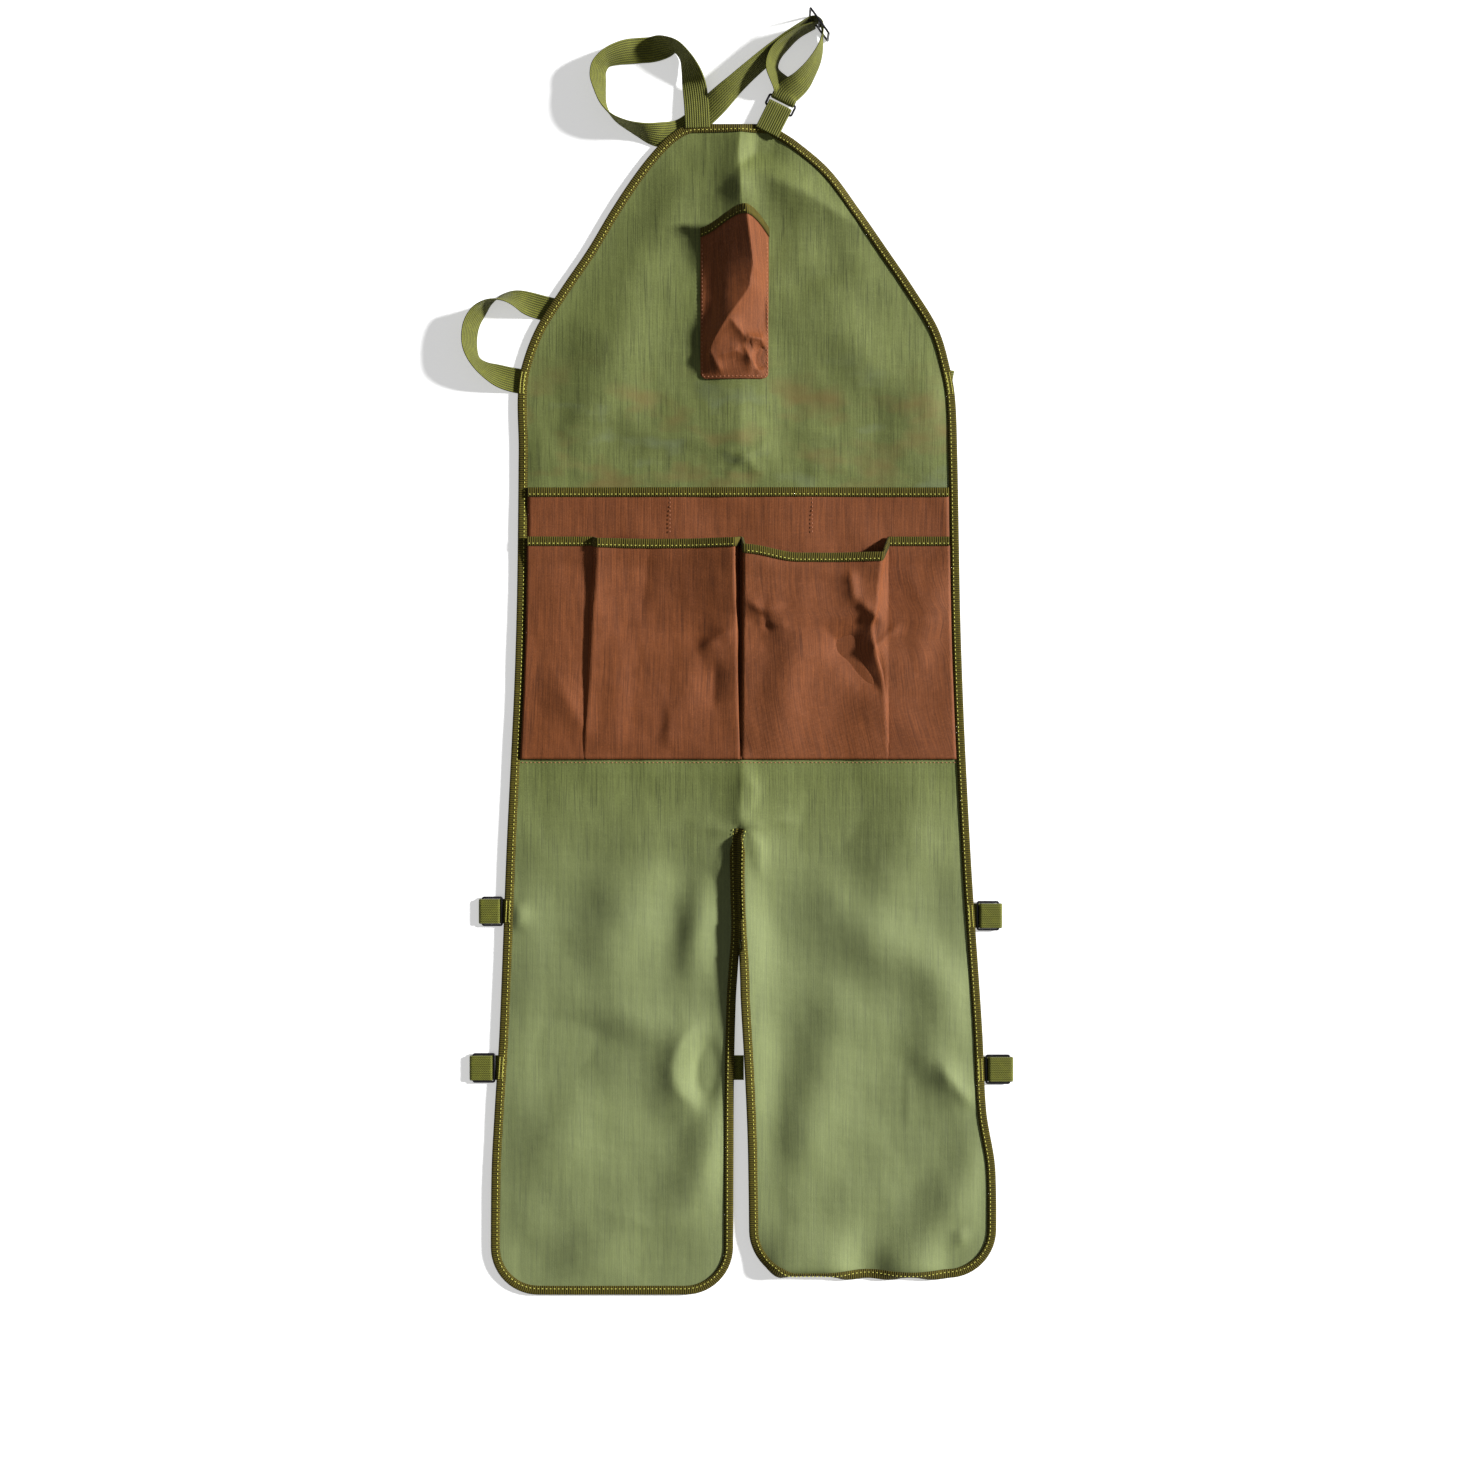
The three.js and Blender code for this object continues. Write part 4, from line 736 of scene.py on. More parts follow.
def canvas(name, colour, faded, deep, slub, thread_pitch, gloss, shine):
    """Coated plain weave on the piece's flat lengths: crossing threads in bump and tone, sparse short
    slubs down the length, and soft worn patches."""
    finish = Finish(name, gloss)
    cloth = finish.place()
    weave = finish.maths("MULTIPLY", *(finish.bands(cloth, thread_pitch, axis, 0.8) for axis in "XY"))
    slubs = finish.noise(finish.place((1, 0.022, 1)), 800, 2, 0.5)
    crosswise = finish.noise(finish.place((0.05, 1, 1)), 420, 2, 0.5)
    patches = finish.noise(cloth, 7, 4, 0.6)
    mottle = finish.noise(cloth, 45, 4, 0.65)
    grain = finish.noise(cloth, 480, 3, 0.7)
    streaks = finish.noise(finish.place((1, 0.03, 1)), 620, 3, 0.6)
    tone = finish.tinted(
        finish.mixed(0.4, finish.mixed(finish.stretched(patches, 0.35, 0.65), deep, faded), colour),
        (mottle, 0.35, 0.75, 0.35, faded),
        (streaks, 0.5, 0.3, 0.5, times(deep, 0.6)),
        (streaks, 0.5, 0.7, 0.5, times(faded, 1.35)),
        (grain, 0.45, 0.25, 0.5, times(deep, 0.55)),
        (grain, 0.55, 0.75, 0.45, times(faded, 1.5)),
        (slubs, 0.41, 0.36, slub, times(deep, 0.42)),
        (slubs, 0.68, 0.74, 0.6 * slub, times(faded, 1.35)),
        (crosswise, 0.62, 0.74, 0.4 * slub, times(faded, 1.25)),
        (weave, 0.6, 0, 0.32, times(deep, 0.55)),
    )
    normal = finish.bump(slubs, 0.25, 0.0004, finish.bump(weave, 0.5, 0.0005))
    finish.set(
        Normal=finish.bump(mottle, 0.25, 0.0015, normal),
        Roughness=finish.stretched(patches, 0.3, 0.7, gloss + 0.06, gloss - 0.06),
        Sheen_Weight=0.15,
        Sheen_Roughness=0.4,
        Sheen_Tint=(*times(faded, 2.5), 1),
        Specular_IOR_Level=shine,
        Specular_Tint=(*(0.6 + 0.4 * channel for channel in times(faded, 3)), 1),
    )
    return finish, cloth, tone


def green_canvas(colours):
    """Sage green cloth of the panel, with ochre and pale blue stains across the waist."""
    base, top = colours.green, BINDING_HIGH.y
    finish, cloth, tone = canvas(
        "sage green cloth", base, times(base, 1.18), times(base, 0.8), 0.6, 0.0011, 0.62, 0.5,
    )
    up = finish.node("SeparateXYZ", {"Vector": cloth}, output=1)
    foot, head = top - STAINS[1] * MM, top - STAINS[0] * MM
    band = finish.maths(
        "MULTIPLY", finish.stretched(up, foot, foot + 0.03), finish.stretched(up, head + 0.03, head - 0.02),
    )
    blots = finish.noise(finish.place((1, 1.8, 1)), 12, 3, 0.5)
    for low, high, share, stain in ((0.5, 0.66, 0.8, (112, 96, 52)), (0.42, 0.3, 0.4, (112, 124, 100))):
        place = finish.maths("MULTIPLY", finish.stretched(blots, low, high, 0, share), band)
        tone = finish.mixed(place, tone, linear(*stain))
    finish.set(Base_Color=finish.tinted(
        # paler down the legs, towards the hem
        tone, (up, top - PALE_LEGS[0] * MM, top - PALE_LEGS[1] * MM, 0.45, linear(135, 145, 104)),
    ))
    return finish.material


def brown_canvas(colours):
    """Rust brown cloth of the pockets, paler where it is rubbed."""
    base = colours.brown
    rubbed = (base[0] * 1.25, base[1] * 1.32, base[2] * 1.32)
    finish, _, tone = canvas("rust brown cloth", base, rubbed, times(base, 0.66), 0.45, 0.0011, 0.64, 0.38)
    finish.set(Base_Color=tone)
    return finish.material


def ribbed_tape(colours):
    """Ribbed binding tape: ribs across the tape, with painted shade between them so that their tops look
    paler, and pale rubbed patches.
    """
    finish = Finish("ribbed olive tape", 0.85)
    cloth, tape = finish.place(), colours.tape
    ribs = finish.bands(cloth, 0.0022, "Y", 0.4)
    threads = finish.bands(cloth, 0.0007, "X", 1.0)
    rub = finish.noise(cloth, 160, 4, 0.65)
    finish.set(
        Base_Color=finish.tinted(
            times(tape, 0.3),
            # painted shade: from 0.3 of the tape's colour between the ribs up to 1.1 on their tops
            (ribs, 0.1, 0.85, 1, times(tape, 1.1)),
            (rub, 0.5, 0.75, 0.45, times(tape, 1.7)),
            (threads, 0.5, 0.1, 0.22, times(tape, 0.4)),
        ),
        Normal=finish.bump(threads, 0.3, 0.0002, finish.bump(ribs, 0.7, 0.0006)),
        Sheen_Weight=0.04,
        Sheen_Roughness=0.4,
        Specular_IOR_Level=0.25,
    )
    return finish.material


def woven_webbing(colours, name, ribbed, slanted):
    """Strap webbing: ribs down its length with painted shade between them, crossed by slanting threads that
    turn from rib to rib.
    """
    finish = Finish(name, 0.8)
    cloth, webbing = finish.place(), colours.webbing
    ribs = finish.bands(cloth, 0.0023, "X", 0.15)
    apart = finish.node("SeparateXYZ", {"Vector": cloth})
    run = finish.maths("ADD", apart.node.outputs[1], finish.maths("PINGPONG", apart, 0.0046))
    slant = finish.bands(finish.node("CombineXYZ", {"X": run}), 0.0022, "X", 0.3)
    rub = finish.noise(cloth, 120, 4, 0.6)
    finish.set(
        Base_Color=finish.tinted(
            webbing,
            # painted shade: the grooves between the ribs darkened to 0.3 of the webbing's colour
            (ribs, 0.8, 0.05, ribbed, times(webbing, 0.3)),
            (slant, 0.5, 0, slanted, times(webbing, 0.3)),
            (rub, 0.5, 0.8, 0.35, times(webbing, 1.6)),
        ),
        Normal=finish.bump(slant, 0.45, 0.0004, finish.bump(ribs, 0.6, 0.0006)),
        Sheen_Weight=0.08,
        Sheen_Roughness=0.35,
    )
    return finish.material


def sewing_thread(name, colour):
    """Twisted sewing thread."""
    finish = Finish(name, 0.6)
    place = finish.place(on="Object")
    finish.set(
        Base_Color=finish.mixed(finish.noise(place, 300, 2), times(colour, 0.75), times(colour, 1.15)),
        Normal=finish.bump(finish.noise(place, 2500, 2), 0.4, 0.0002),
    )
    return finish.material


def moulded_plastic(colours):
    """Black moulded plastic with a fine matt grain and paler rubbed smears."""
    finish = Finish("black plastic", 0.4)
    place = finish.place(on="Object")
    smears = finish.noise(place, 90, 3)
    finish.set(
        Base_Color=finish.mixed(smears, colours.plastic, times(colours.plastic, 2.2)),
        Roughness=finish.stretched(smears, 0.3, 0.7, 0.3, 0.5),
        Normal=finish.bump(finish.noise(place, 1400, 3), 0.15, 0.0002),
    )
    return finish.material


def finish_for(key):
    """The material for a part of the apron, made once and shared."""
    makers = {
        "green": green_canvas,
        "brown": brown_canvas,
        "tape": ribbed_tape,
        "webbing": lambda colours: woven_webbing(colours, "ribbed webbing", 1, 0.35),
        "tab_webbing": lambda colours: woven_webbing(colours, "twilled webbing", 0.3, 0.9),
        "thread": lambda colours: sewing_thread("tape thread", colours.thread),
        "brown_thread": lambda colours: sewing_thread("pocket thread", colours.brown_thread),
        "plastic": moulded_plastic,
    }
    known = bpy.data.materials.get(bpy.context.scene.get("finish_" + key, ""))
    if known is None:
        known = makers[key](bpy.context.scene.apron_colours)
        bpy.context.scene["finish_" + key] = known.name
    return known


def apron():
    """The apron's cut, from the sizes in the sidebar."""
    return Apron(bpy.context.scene.apron_sizes)


def panel_levels(cut, side, inset):
    """Levels down one half: even steps to the slit's top and on to the hem's corner, then even angles
    round the corner."""
    corner_start = float(cut.hem(side)) + HEM_RADIUS
    body = np.linspace(cut.top - inset, cut.slit_top, PANEL_ROWS[0])[:-1]
    leg = np.linspace(cut.slit_top, corner_start, PANEL_ROWS[1])[:-1]
    turn = np.linspace(0, np.pi / 2, PANEL_ROWS[2])
    round_corner = corner_start - (HEM_RADIUS - inset) * np.sin(turn)
    return np.concatenate([body, leg, round_corner])


def panel_sheet(cut):
    """Both halves of the cloth: on each, x runs evenly from the centre line or the slit's edge to the
    outer edge at every level. The halves are welded along the centre line."""
    points, faces, start = [], [], 0
    for side in (-1, 1):
        y = panel_levels(cut, side, cut.panel_inset)[:, None]
        share = np.linspace(0, 1, PANEL_COLUMNS)[None]
        inner, outer = (find(side, y, cut.panel_inset) for find in (cut.inner, cut.outer))
        x = inner + (outer - inner) * share
        points.append(cut.lay(x, y, cut.panel_base).reshape(-1, 3))
        corners = quads(len(y), share.size) + start
        faces.append(corners if side > 0 else corners[:, ::-1])
        start += x.size
    return welded(np.concatenate(points), np.concatenate(faces))


def edge_path(cut):
    """The outline as one open path, from the left of the slit's top round to its right."""
    path = []
    highest = cut.slit_top + 2
    for side in (-1, 1):
        levels = np.unique(np.append(panel_levels(cut, side, 0), highest))[::-1]
        slit = levels[levels <= highest]
        half = np.concatenate([
            np.stack([cut.inner(side, slit), slit], 1),
            np.stack([cut.outer(side, levels), levels], 1)[::-1],
        ])
        path.append(half if side < 0 else half[::-1])
    return np.concatenate(path)


def square_to(path, reach):
    """Directions square to a path, towards its right, after a running mean of its headings."""
    heading = averaged(unit(np.gradient(path, axis=0)), reach)
    return unit(np.stack([heading[:, 1], -heading[:, 0]], 1))


def tape_profile(cut, thickness, gap):
    """Closed section of a folded tape: distance in from the fold, height through the cloth."""
    inside = thickness / 2 + gap
    out = inside + TAPE_WALL
    width = cut.tape_width
    return np.array([
        (width, -out), (0.62 * width, -out), (0.3 * width, -out), (0.9, -out), (0.15, -0.6 * out), (0, 0),
        (0.15, 0.6 * out), (0.9, out), (0.3 * width, out), (0.62 * width, out), (width, out),
        (width, inside), (0.5 * width, inside), (TAPE_WALL + 0.4, inside),
        (TAPE_WALL + 0.4, -inside), (0.5 * width, -inside), (width, -inside),
    ])


def ribs_on(profile, count, depth=0.11):
    """A section repeated along stations, its outer side raised and lowered from one to the next."""
    outer = np.abs(profile[:, 1]) >= np.abs(profile[:, 1]).max() - 0.01
    lift = np.where(np.arange(count) % 2, depth, -depth)[:, None] * outer * np.sign(profile[:, 1])
    return np.stack([
        np.broadcast_to(profile[:, 0], lift.shape),
        profile[:, 1] + lift,
    ], -1)


def end_caps(count, width):
    """The two end faces of a section carried along count stations."""
    return np.stack([np.arange(width)[::-1], (count - 1) * width + np.arange(width)])


def tube(points, across, run):
    """A section carried along stations as a closed mesh, with its flat lengths across and along."""
    shape = points.shape[:2]
    faces = [quads(*shape, round_columns=True), end_caps(*shape)]
    return points, faces, np.stack(np.broadcast_arrays(across, run[:, None]), -1)


def edge_binding(cut):
    """The tape's section carried along the outline, set square to it."""
    path, run = resampled(edge_path(cut), cut.rib_pitch / 2)
    section = ribs_on(tape_profile(cut, cut.panel_wall, LAYER_GAP), len(path))
    pinched = smooth(np.minimum(run, run[-1] - run), 0, 26)[:, None]
    section[..., 0] *= 0.45 + 0.55 * pinched
    place = path[:, None] + square_to(path, 3)[:, None] * section[..., :1]
    points = cut.lay(place[..., 0], place[..., 1], cut.panel_base + section[..., 1])
    return tube(points, section[..., 0], run)


class Pocket:
    """A pocket and its mouth's tape. Each kind gives its surface's points by column and by share of the
    way down, as grid, and its length down a column, as depth."""

    def __init__(self, cut, columns):
        self.cut = cut
        self.columns = columns

    def sheet(self, rows):
        """The whole surface as a grid with even rows."""
        share = np.linspace(0, 1, rows)[:, None]
        column = np.arange(self.columns)[None].astype(float)
        return self.grid(column, share)

    def mouth_columns(self, pitch):
        """Columns at an even pitch along the mouth."""
        fine = np.linspace(0, self.columns - 1, self.columns * 4)
        run = run_along(self.grid(fine, np.zeros(1)))
        at = np.linspace(0, run[-1], int(run[-1] / pitch))
        return np.interp(at, run, fine), at

    def tape(self):
        """The folded tape over the mouth: its section stands on the surface along its normal."""
        cut = self.cut
        column, run = self.mouth_columns(cut.rib_pitch / 2)
        section = ribs_on(tape_profile(cut, cut.pocket_wall, LAYER_GAP + TAPE_EASE), len(column))
        share = (section[..., 0] - TAPE_WALL - LAYER_GAP) / self.depth(column)[:, None]
        held = np.maximum(share, 0)
        place = self.grid(column[:, None], held)
        below = self.grid(column[:, None], held + 0.012)
        up = unit(self.grid(column[:, None], np.maximum(held - 0.012, 0)) - below)
        across = np.gradient(averaged(place, 2), axis=0)
        normal = unit(np.cross(across, up))
        normal *= np.where(normal[..., 2:] < 0, -1, 1)
        over = np.maximum(-share, 0) * self.depth(column)[:, None]
        points = place + up * over[..., None] + normal * section[..., 1:]
        return tube(points, section[..., 0], run)


def mouth_lift(cut, depth):
    """Room for the tape's under side near a mouth, easing off down the pocket."""
    room = TAPE_WALL + LAYER_GAP + 2 * TAPE_EASE
    return room * (1 - smooth(depth, cut.tape_width, cut.tape_width + MOUTH_EASE))


class BackPocket(Pocket):
    """The full-width layer, lying on the panel between the side bindings."""

    def __init__(self, cut):
        super().__init__(cut, BACK_COLUMNS)

    def depth(self, column):
        return np.full(np.shape(column), (POCKET_FOOT - BACK_TOP) * self.cut.length)

    def grid(self, column, share):
        cut = self.cut
        column, share = np.broadcast_arrays(column, share)
        depth = share * self.depth(column)
        y = cut.level(BACK_TOP) - depth
        left, right = cut.outer(-1, y, cut.pocket_inset), cut.outer(1, y, cut.pocket_inset)
        x = left + (right - left) * column / (self.columns - 1)
        return cut.lay(x, y, cut.back_level + mouth_lift(cut, depth))


class FrontPocket(Pocket):
    """The lower layer: flat at the sides, with two raised pockets whose walls rise from their seams as
    quarter rounds and whose tops sag between their crests."""

    FLAT, WALL, TOP = 22, 9, 58

    def __init__(self, cut):
        rows = []

        def flat(start, end):
            for at in np.linspace(start, end, self.FLAT):
                rows.append((at, 0, 0, 0))

        def wall(k):
            t = k / self.WALL
            turn = math.pi / 2 * t
            return 0.3 * (1 - math.cos(turn)) + 0.7 * t, 0.3 * math.sin(turn) + 0.7 * t

        flat(-1, BELLOWS[0][0] - 0.004)
        for (
            left, right, left_lean, right_lean, left_rise, right_rise, sag, droop, left_hang, right_hang,
        ) in BELLOWS:
            for k in range(self.WALL):
                lean, rise = wall(k)
                rows.append((left, left_lean * lean, left_rise * rise, droop * left_hang * k / self.WALL))
            for k in range(self.TOP + 1):
                t = k / self.TOP
                middle = math.sin(math.pi * t)
                hang = min(left_hang + (1 - left_hang) * float(smooth(t, 0, 0.4)),
                           right_hang + (1 - right_hang) * float(smooth(t, 1, 0.6)))
                rows.append((
                    left + (right - left) * t,
                    left_lean + (-right_lean - left_lean) * t,
                    left_rise + (right_rise - left_rise) * t - sag * middle,
                    droop * hang,
                ))
            for k in reversed(range(self.WALL)):
                lean, rise = wall(k)
                hang = droop * right_hang * k / self.WALL
                rows.append((right, -right_lean * lean, right_rise * rise, hang))
        flat(BELLOWS[1][1] + 0.004, 1)
        self.table = np.array(rows).T
        super().__init__(cut, len(rows))

    def column_values(self, column):
        """Place, lean, rise and droop at a column, evenly between the worked out ones."""
        return [np.interp(column, np.arange(self.columns), row) for row in self.table]

    def depth(self, column):
        droop = self.column_values(column)[3]
        return (POCKET_FOOT - FRONT_TOP) * self.cut.length - droop * MOUTH_DROOP

    def grid(self, column, share):
        cut = self.cut
        column, share = np.broadcast_arrays(column, share)
        at, lean, rise, _ = self.column_values(column)
        full = self.depth(column)
        depth = share * full
        y = cut.level(POCKET_FOOT) + full - depth
        fade = along(BELLOWS_FADE, 1, share)
        left, right = cut.outer(-1, y, cut.pocket_inset), cut.outer(1, y, cut.pocket_inset)
        first, last = BELLOWS[0][0], BELLOWS[1][1]
        from_left = left + (first * POCKET_HALF_WIDTH - left) * (at + 1) / (first + 1)
        from_right = right + (last * POCKET_HALF_WIDTH - right) * (1 - at) / (1 - last)
        spread = np.where(at < first, from_left, np.where(at > last, from_right, at * POCKET_HALF_WIDTH))
        spread = spread + SEAM_SLANT * (1 - share) * smooth(at, -1, first) * smooth(at, 0, first)
        waver = along(FOLD_WAVER, 1, share) * smooth(at, BELLOWS[1][0], last)
        waver *= (at <= last) * np.minimum(2 * rise, 1)
        x = spread + lean * cut.pocket_rise * fade - waver
        base = cut.front_level + 2 * mouth_lift(cut, depth)
        points = cut.lay(x, y, base)
        raised = rise * fade
        crumpled = uneven(x, cut.top - y, FRONT_CREASES, FRONT_SWELLS)
        sewn = smooth(share, 0, 0.08) * smooth(share, 1, 0.9)
        room = np.where(crumpled > 0, sewn, np.minimum(raised * 3, 1))
        points[..., 2] += raised * cut.pocket_rise + crumpled * room
        return points


class ChestPocket(Pocket):
    """The small pocket on the bib, standing up to a slanting ridge and open at the mouth."""

    def __init__(self, cut):
        super().__init__(cut, CHEST_COLUMNS)

    def depth(self, column):
        across = np.clip(column / (self.columns - 1), 0, 1)
        return CHEST_LENGTH * (1 + 0.12 * np.sin(np.pi * across**1.5))

    def grid(self, column, share):
        cut = self.cut
        column, share = np.broadcast_arrays(column, share)
        across = np.clip(column / (self.columns - 1), 0, 1)
        ridge, high = along(CHEST_RIDGE, 1, share), along(CHEST_RIDGE, 2, share)
        slope = np.where(across < ridge, across / ridge, (1 - across) / (1 - ridge))
        depth = share * self.depth(column)
        left_over = np.maximum(depth - self.depth(column) + CHEST_CORNER, 0)
        corner = CHEST_CORNER - np.sqrt(CHEST_CORNER**2 - left_over**2)
        x = CHEST_LEFT + across * CHEST_WIDTH + corner * (1 - 2 * across)
        y = cut.level(CHEST_FOOT) + self.depth(column) - depth
        base = cut.panel_top + LAYER_GAP + cut.pocket_wall / 2 + mouth_lift(cut, depth)
        points = cut.lay(x, y, base)
        crumpled = uneven(x, cut.top - y, CHEST_CREASES, CHEST_SWELLS)
        sewn = smooth(across, 0, 0.08) * smooth(across, 1, 0.92) * smooth(share, 1, 0.94)
        raised = cut.chest_rise * high * slope * (1.1 - 0.1 * slope)
        points[..., 2] += np.maximum(raised + crumpled * sewn, 0)
        return points


def width_direction(heading, tilt):
    """Direction of a strap's width from its plan heading and its tilt, in degrees."""
    turn, lift = math.radians(heading), math.radians(tilt)
    return np.array([math.cos(lift) * math.cos(turn), math.cos(lift) * math.sin(turn), math.sin(lift)])


def half_height(cut, width):
    """Half the height that a strap takes up with its width in a direction."""
    level = np.hypot(width[..., 0], width[..., 1])
    return np.abs(width[..., 2]) * cut.webbing_width / 2 + level * cut.webbing_wall / 2


def curve_through(points, at):
    """A smooth curve through points: cubics whose end slopes weigh the neighbours by the roots of their
    distances."""
    ends = np.vstack([2 * points[0] - points[1], points, 2 * points[-1] - points[-2]])
    row = np.clip(np.floor(at).astype(int), 0, len(points) - 2)
    t = (at - row)[:, None]
    a, b, c, d = (ends[row + k] for k in range(4))
    first, middle, last = (
        np.maximum(np.sqrt(np.linalg.norm(step, axis=1)), 1e-2)[:, None] for step in (b - a, c - b, d - c)
    )
    leave = ((b - a) / first - (c - a) / (first + middle) + (c - b) / middle) * middle
    arrive = ((c - b) / middle - (d - b) / (middle + last) + (d - c) / last) * middle
    bend = (3 * (c - b) - 2 * leave - arrive) * t**2 + (2 * (b - c) + leave + arrive) * t**3
    return b + leave * t + bend


def stations(cut, knots, step):
    """Even steps on a smooth curve through knots; width's direction and lower edge change evenly."""
    centres = np.array([centre for centre, _ in knots], float)
    widths = np.array([width for _, width in knots], float)
    spans = np.linalg.norm(np.diff(centres, axis=0), axis=1)
    at = np.concatenate([
        k + np.arange(max(int(round(span / step)), 1)) / max(int(round(span / step)), 1)
        for k, span in enumerate(spans)
    ] + [[len(knots) - 1.0]])
    order = np.arange(len(knots))
    width = unit(np.stack([np.interp(at, order, widths[:, k]) for k in range(3)], 1))
    centre = curve_through(centres, at)
    low = np.interp(at, order, centres[:, 2] - half_height(cut, widths))
    centre[:, 2] = low + half_height(cut, width)
    return centre, width


def strap(cut, centre, width, ease=2, rib=0.1):
    """Webbing along stations: a flat section with rounded edges and eleven low ribs down its length,
    square to the path and lifted to the surface where it would go below it."""
    centre, width = averaged(centre, ease), unit(averaged(width, ease))
    ahead = unit(np.gradient(centre, axis=0))
    through = unit(np.cross(ahead, width))
    square = unit(np.cross(through, ahead))
    lowest = np.abs(square[:, 2]) * cut.webbing_width / 2 + np.abs(through[:, 2]) * cut.webbing_wall / 2
    centre = centre.copy()
    centre[:, 2] = np.maximum(centre[:, 2], lowest)
    across = np.linspace(-1, 1, WEBBING_COLUMNS)
    edge = np.sqrt(np.clip(1 - np.abs(across) ** WEBBING_EDGE, 0, 1))
    ribs = rib * np.cos(across * WEBBING_RIBS * np.pi) * edge
    upper = np.stack([across * cut.webbing_width / 2, (cut.webbing_wall / 2 - rib) * edge + ribs], 1)
    lower = upper[1:-1][::-1] * (1, -1)
    section = np.concatenate([upper, lower])
    points = (
        centre[:, None]
        + square[:, None] * section[None, :, :1]
        + through[:, None] * section[None, :, 1:]
    )
    return tube(points, section[None, :, 0] + cut.webbing_width / 2, run_along(centre))


def neck_place(cut, across, up, level):
    """A place given by shares of the neck strap's spread and rise."""
    return np.array([across * NECK_SPREAD, cut.top + up * NECK_RISE, level])


def knots_of(cut, rows, origin, spread):
    """Knots of a strap from rows of its table, set out from an origin."""
    knots = []
    for across, up, low, heading, tilt in rows:
        width = width_direction(heading, tilt)
        level = low * cut.webbing_width + half_height(cut, width)
        knots.append((np.array([origin[0] + across * spread[0], origin[1] + up * spread[1], level]), width))
    return knots


def neck_knots(cut, rows):
    """Knots of the neck strap."""
    return knots_of(cut, rows, (0, cut.top), (NECK_SPREAD, NECK_RISE))


class NeckHardware:
    """Places and directions of the ring and the slider."""

    def __init__(self, cut):
        self.fold = math.hypot(FRAME_BAR, FRAME_WALL) / 2 + LAYER_GAP + cut.webbing_wall / 2
        self.ring_level = cut.webbing_wall + 2 * LAYER_GAP + self.fold + cut.webbing_wall / 2
        self.ring = neck_place(cut, *RING_PLACE[:2], self.ring_level)
        self.ring_axis = width_direction(RING_PLACE[2], 0)
        self.ring_down = width_direction(RING_PLACE[2] - 90, 0)
        self.slider = neck_place(cut, *SLIDER_PLACE[:2], 0)
        self.slider_axis = width_direction(SLIDER_PLACE[2], 0)
        self.slider_out = width_direction(SLIDER_PLACE[2] + 90, 0)
        self.slot = (SLIDER_LENGTH - 3 * FRAME_BAR) / 2

    def bar(self, side):
        """Centre of the ring's upper (-1) or lower (1) bar."""
        return self.ring + self.ring_down * side * (RING_SLOT + FRAME_BAR) / 2

    def folded(self, bar, onward, width):
        """Knots of a fold round a bar: over it, past it and back under it."""
        knots = []
        for angle in np.radians([90, 60, 30, 0, -30, -60, -90]):
            offset = onward * math.cos(angle) + np.array([0, 0, math.sin(angle)])
            knots.append((bar + self.fold * offset, width))
        return knots

    def on_slider(self, cut, along_slider, out):
        """A knot beside the slider, standing on edge."""
        centre = self.slider + self.slider_axis * along_slider + self.slider_out * out
        centre[2] = FRAME_BAR + LAYER_GAP + cut.webbing_width / 2
        return centre, np.array([0, 0, 1.0])


def neck_strap(cut):
    """The whole neck strap, from its sewn end through the slider, round the ring and back."""
    ware = NeckHardware(cut)
    middle = (FRAME_BAR + ware.slot) / 2
    clear = FRAME_WALL / 2 + LAYER_GAP + cut.webbing_wall / 2 + 0.2
    across = -ware.ring_axis
    fold = ware.folded(ware.bar(-1), ware.ring_down, across)
    before = (fold[0][0] - 6 * ware.ring_down, across)
    after = fold[-1][0] - 6 * ware.ring_down
    after[2] = cut.webbing_wall / 2 + 0.8
    knots = [
        *neck_knots(cut, NECK_ROUTE),
        ware.on_slider(cut, -middle, -1),
        ware.on_slider(cut, -middle / 2, clear * 0.9),
        ware.on_slider(cut, 0, clear * 1.1),
        ware.on_slider(cut, middle / 2, clear * 0.9),
        ware.on_slider(cut, middle, -1),
        *neck_knots(cut, NECK_OUTER_STRAND),
        before,
        *fold,
        (after, across),
        *neck_knots(cut, NECK_INNER_STRAND),
        ware.on_slider(cut, -1.5, -(FRAME_WALL / 2 + 1.2)),
    ]
    return strap(cut, *stations(cut, knots, 2.0))


def neck_tab(cut):
    """Doubled tab: up from the bib, round the ring's lower bar with some slack and back on itself."""
    ware = NeckHardware(cut)
    lower = ware.bar(1)
    seat = cut.tape_top + LAYER_GAP + cut.webbing_wall / 2
    upper = seat + cut.webbing_wall + LAYER_GAP

    def sewn(level, share):
        centre = lower + ware.ring_down * share * NECK_TAB
        centre[2] = level
        return centre, ware.ring_axis

    knots = [
        sewn(upper, 1),
        sewn(upper, 0.69),
        *ware.folded(lower - TAB_FILL * ware.ring_down, -ware.ring_down, ware.ring_axis),
        sewn(seat, 0.4),
        sewn(seat, 0.69),
        sewn(seat, 1),
    ]
    return strap(cut, *stations(cut, knots, 1.5), ease=1)


def waist_strap(cut):
    """The loop on the left, then a straight run under the bib to the right edge."""
    seam = (WAIST_SEAM[0] * cut.half_width, cut.level(WAIST_SEAM[1]))
    knots = knots_of(cut, WAIST_ROUTE, seam, WAIST_LOOP)
    centre, width = stations(cut, knots, 2.5)
    end = np.array([WAIST_END[0] * cut.half_width, cut.level(WAIST_END[1]), cut.webbing_wall / 2])
    span = end - knots[-1][0]
    square = unit(np.array([span[1], -span[0], 0]))
    run = knots[-1][0] + span * np.linspace(0, 1, 60)[1:, None]
    centre = np.concatenate([centre, run])
    width = np.concatenate([width, np.broadcast_to(square, run.shape)])
    return strap(cut, centre, width)


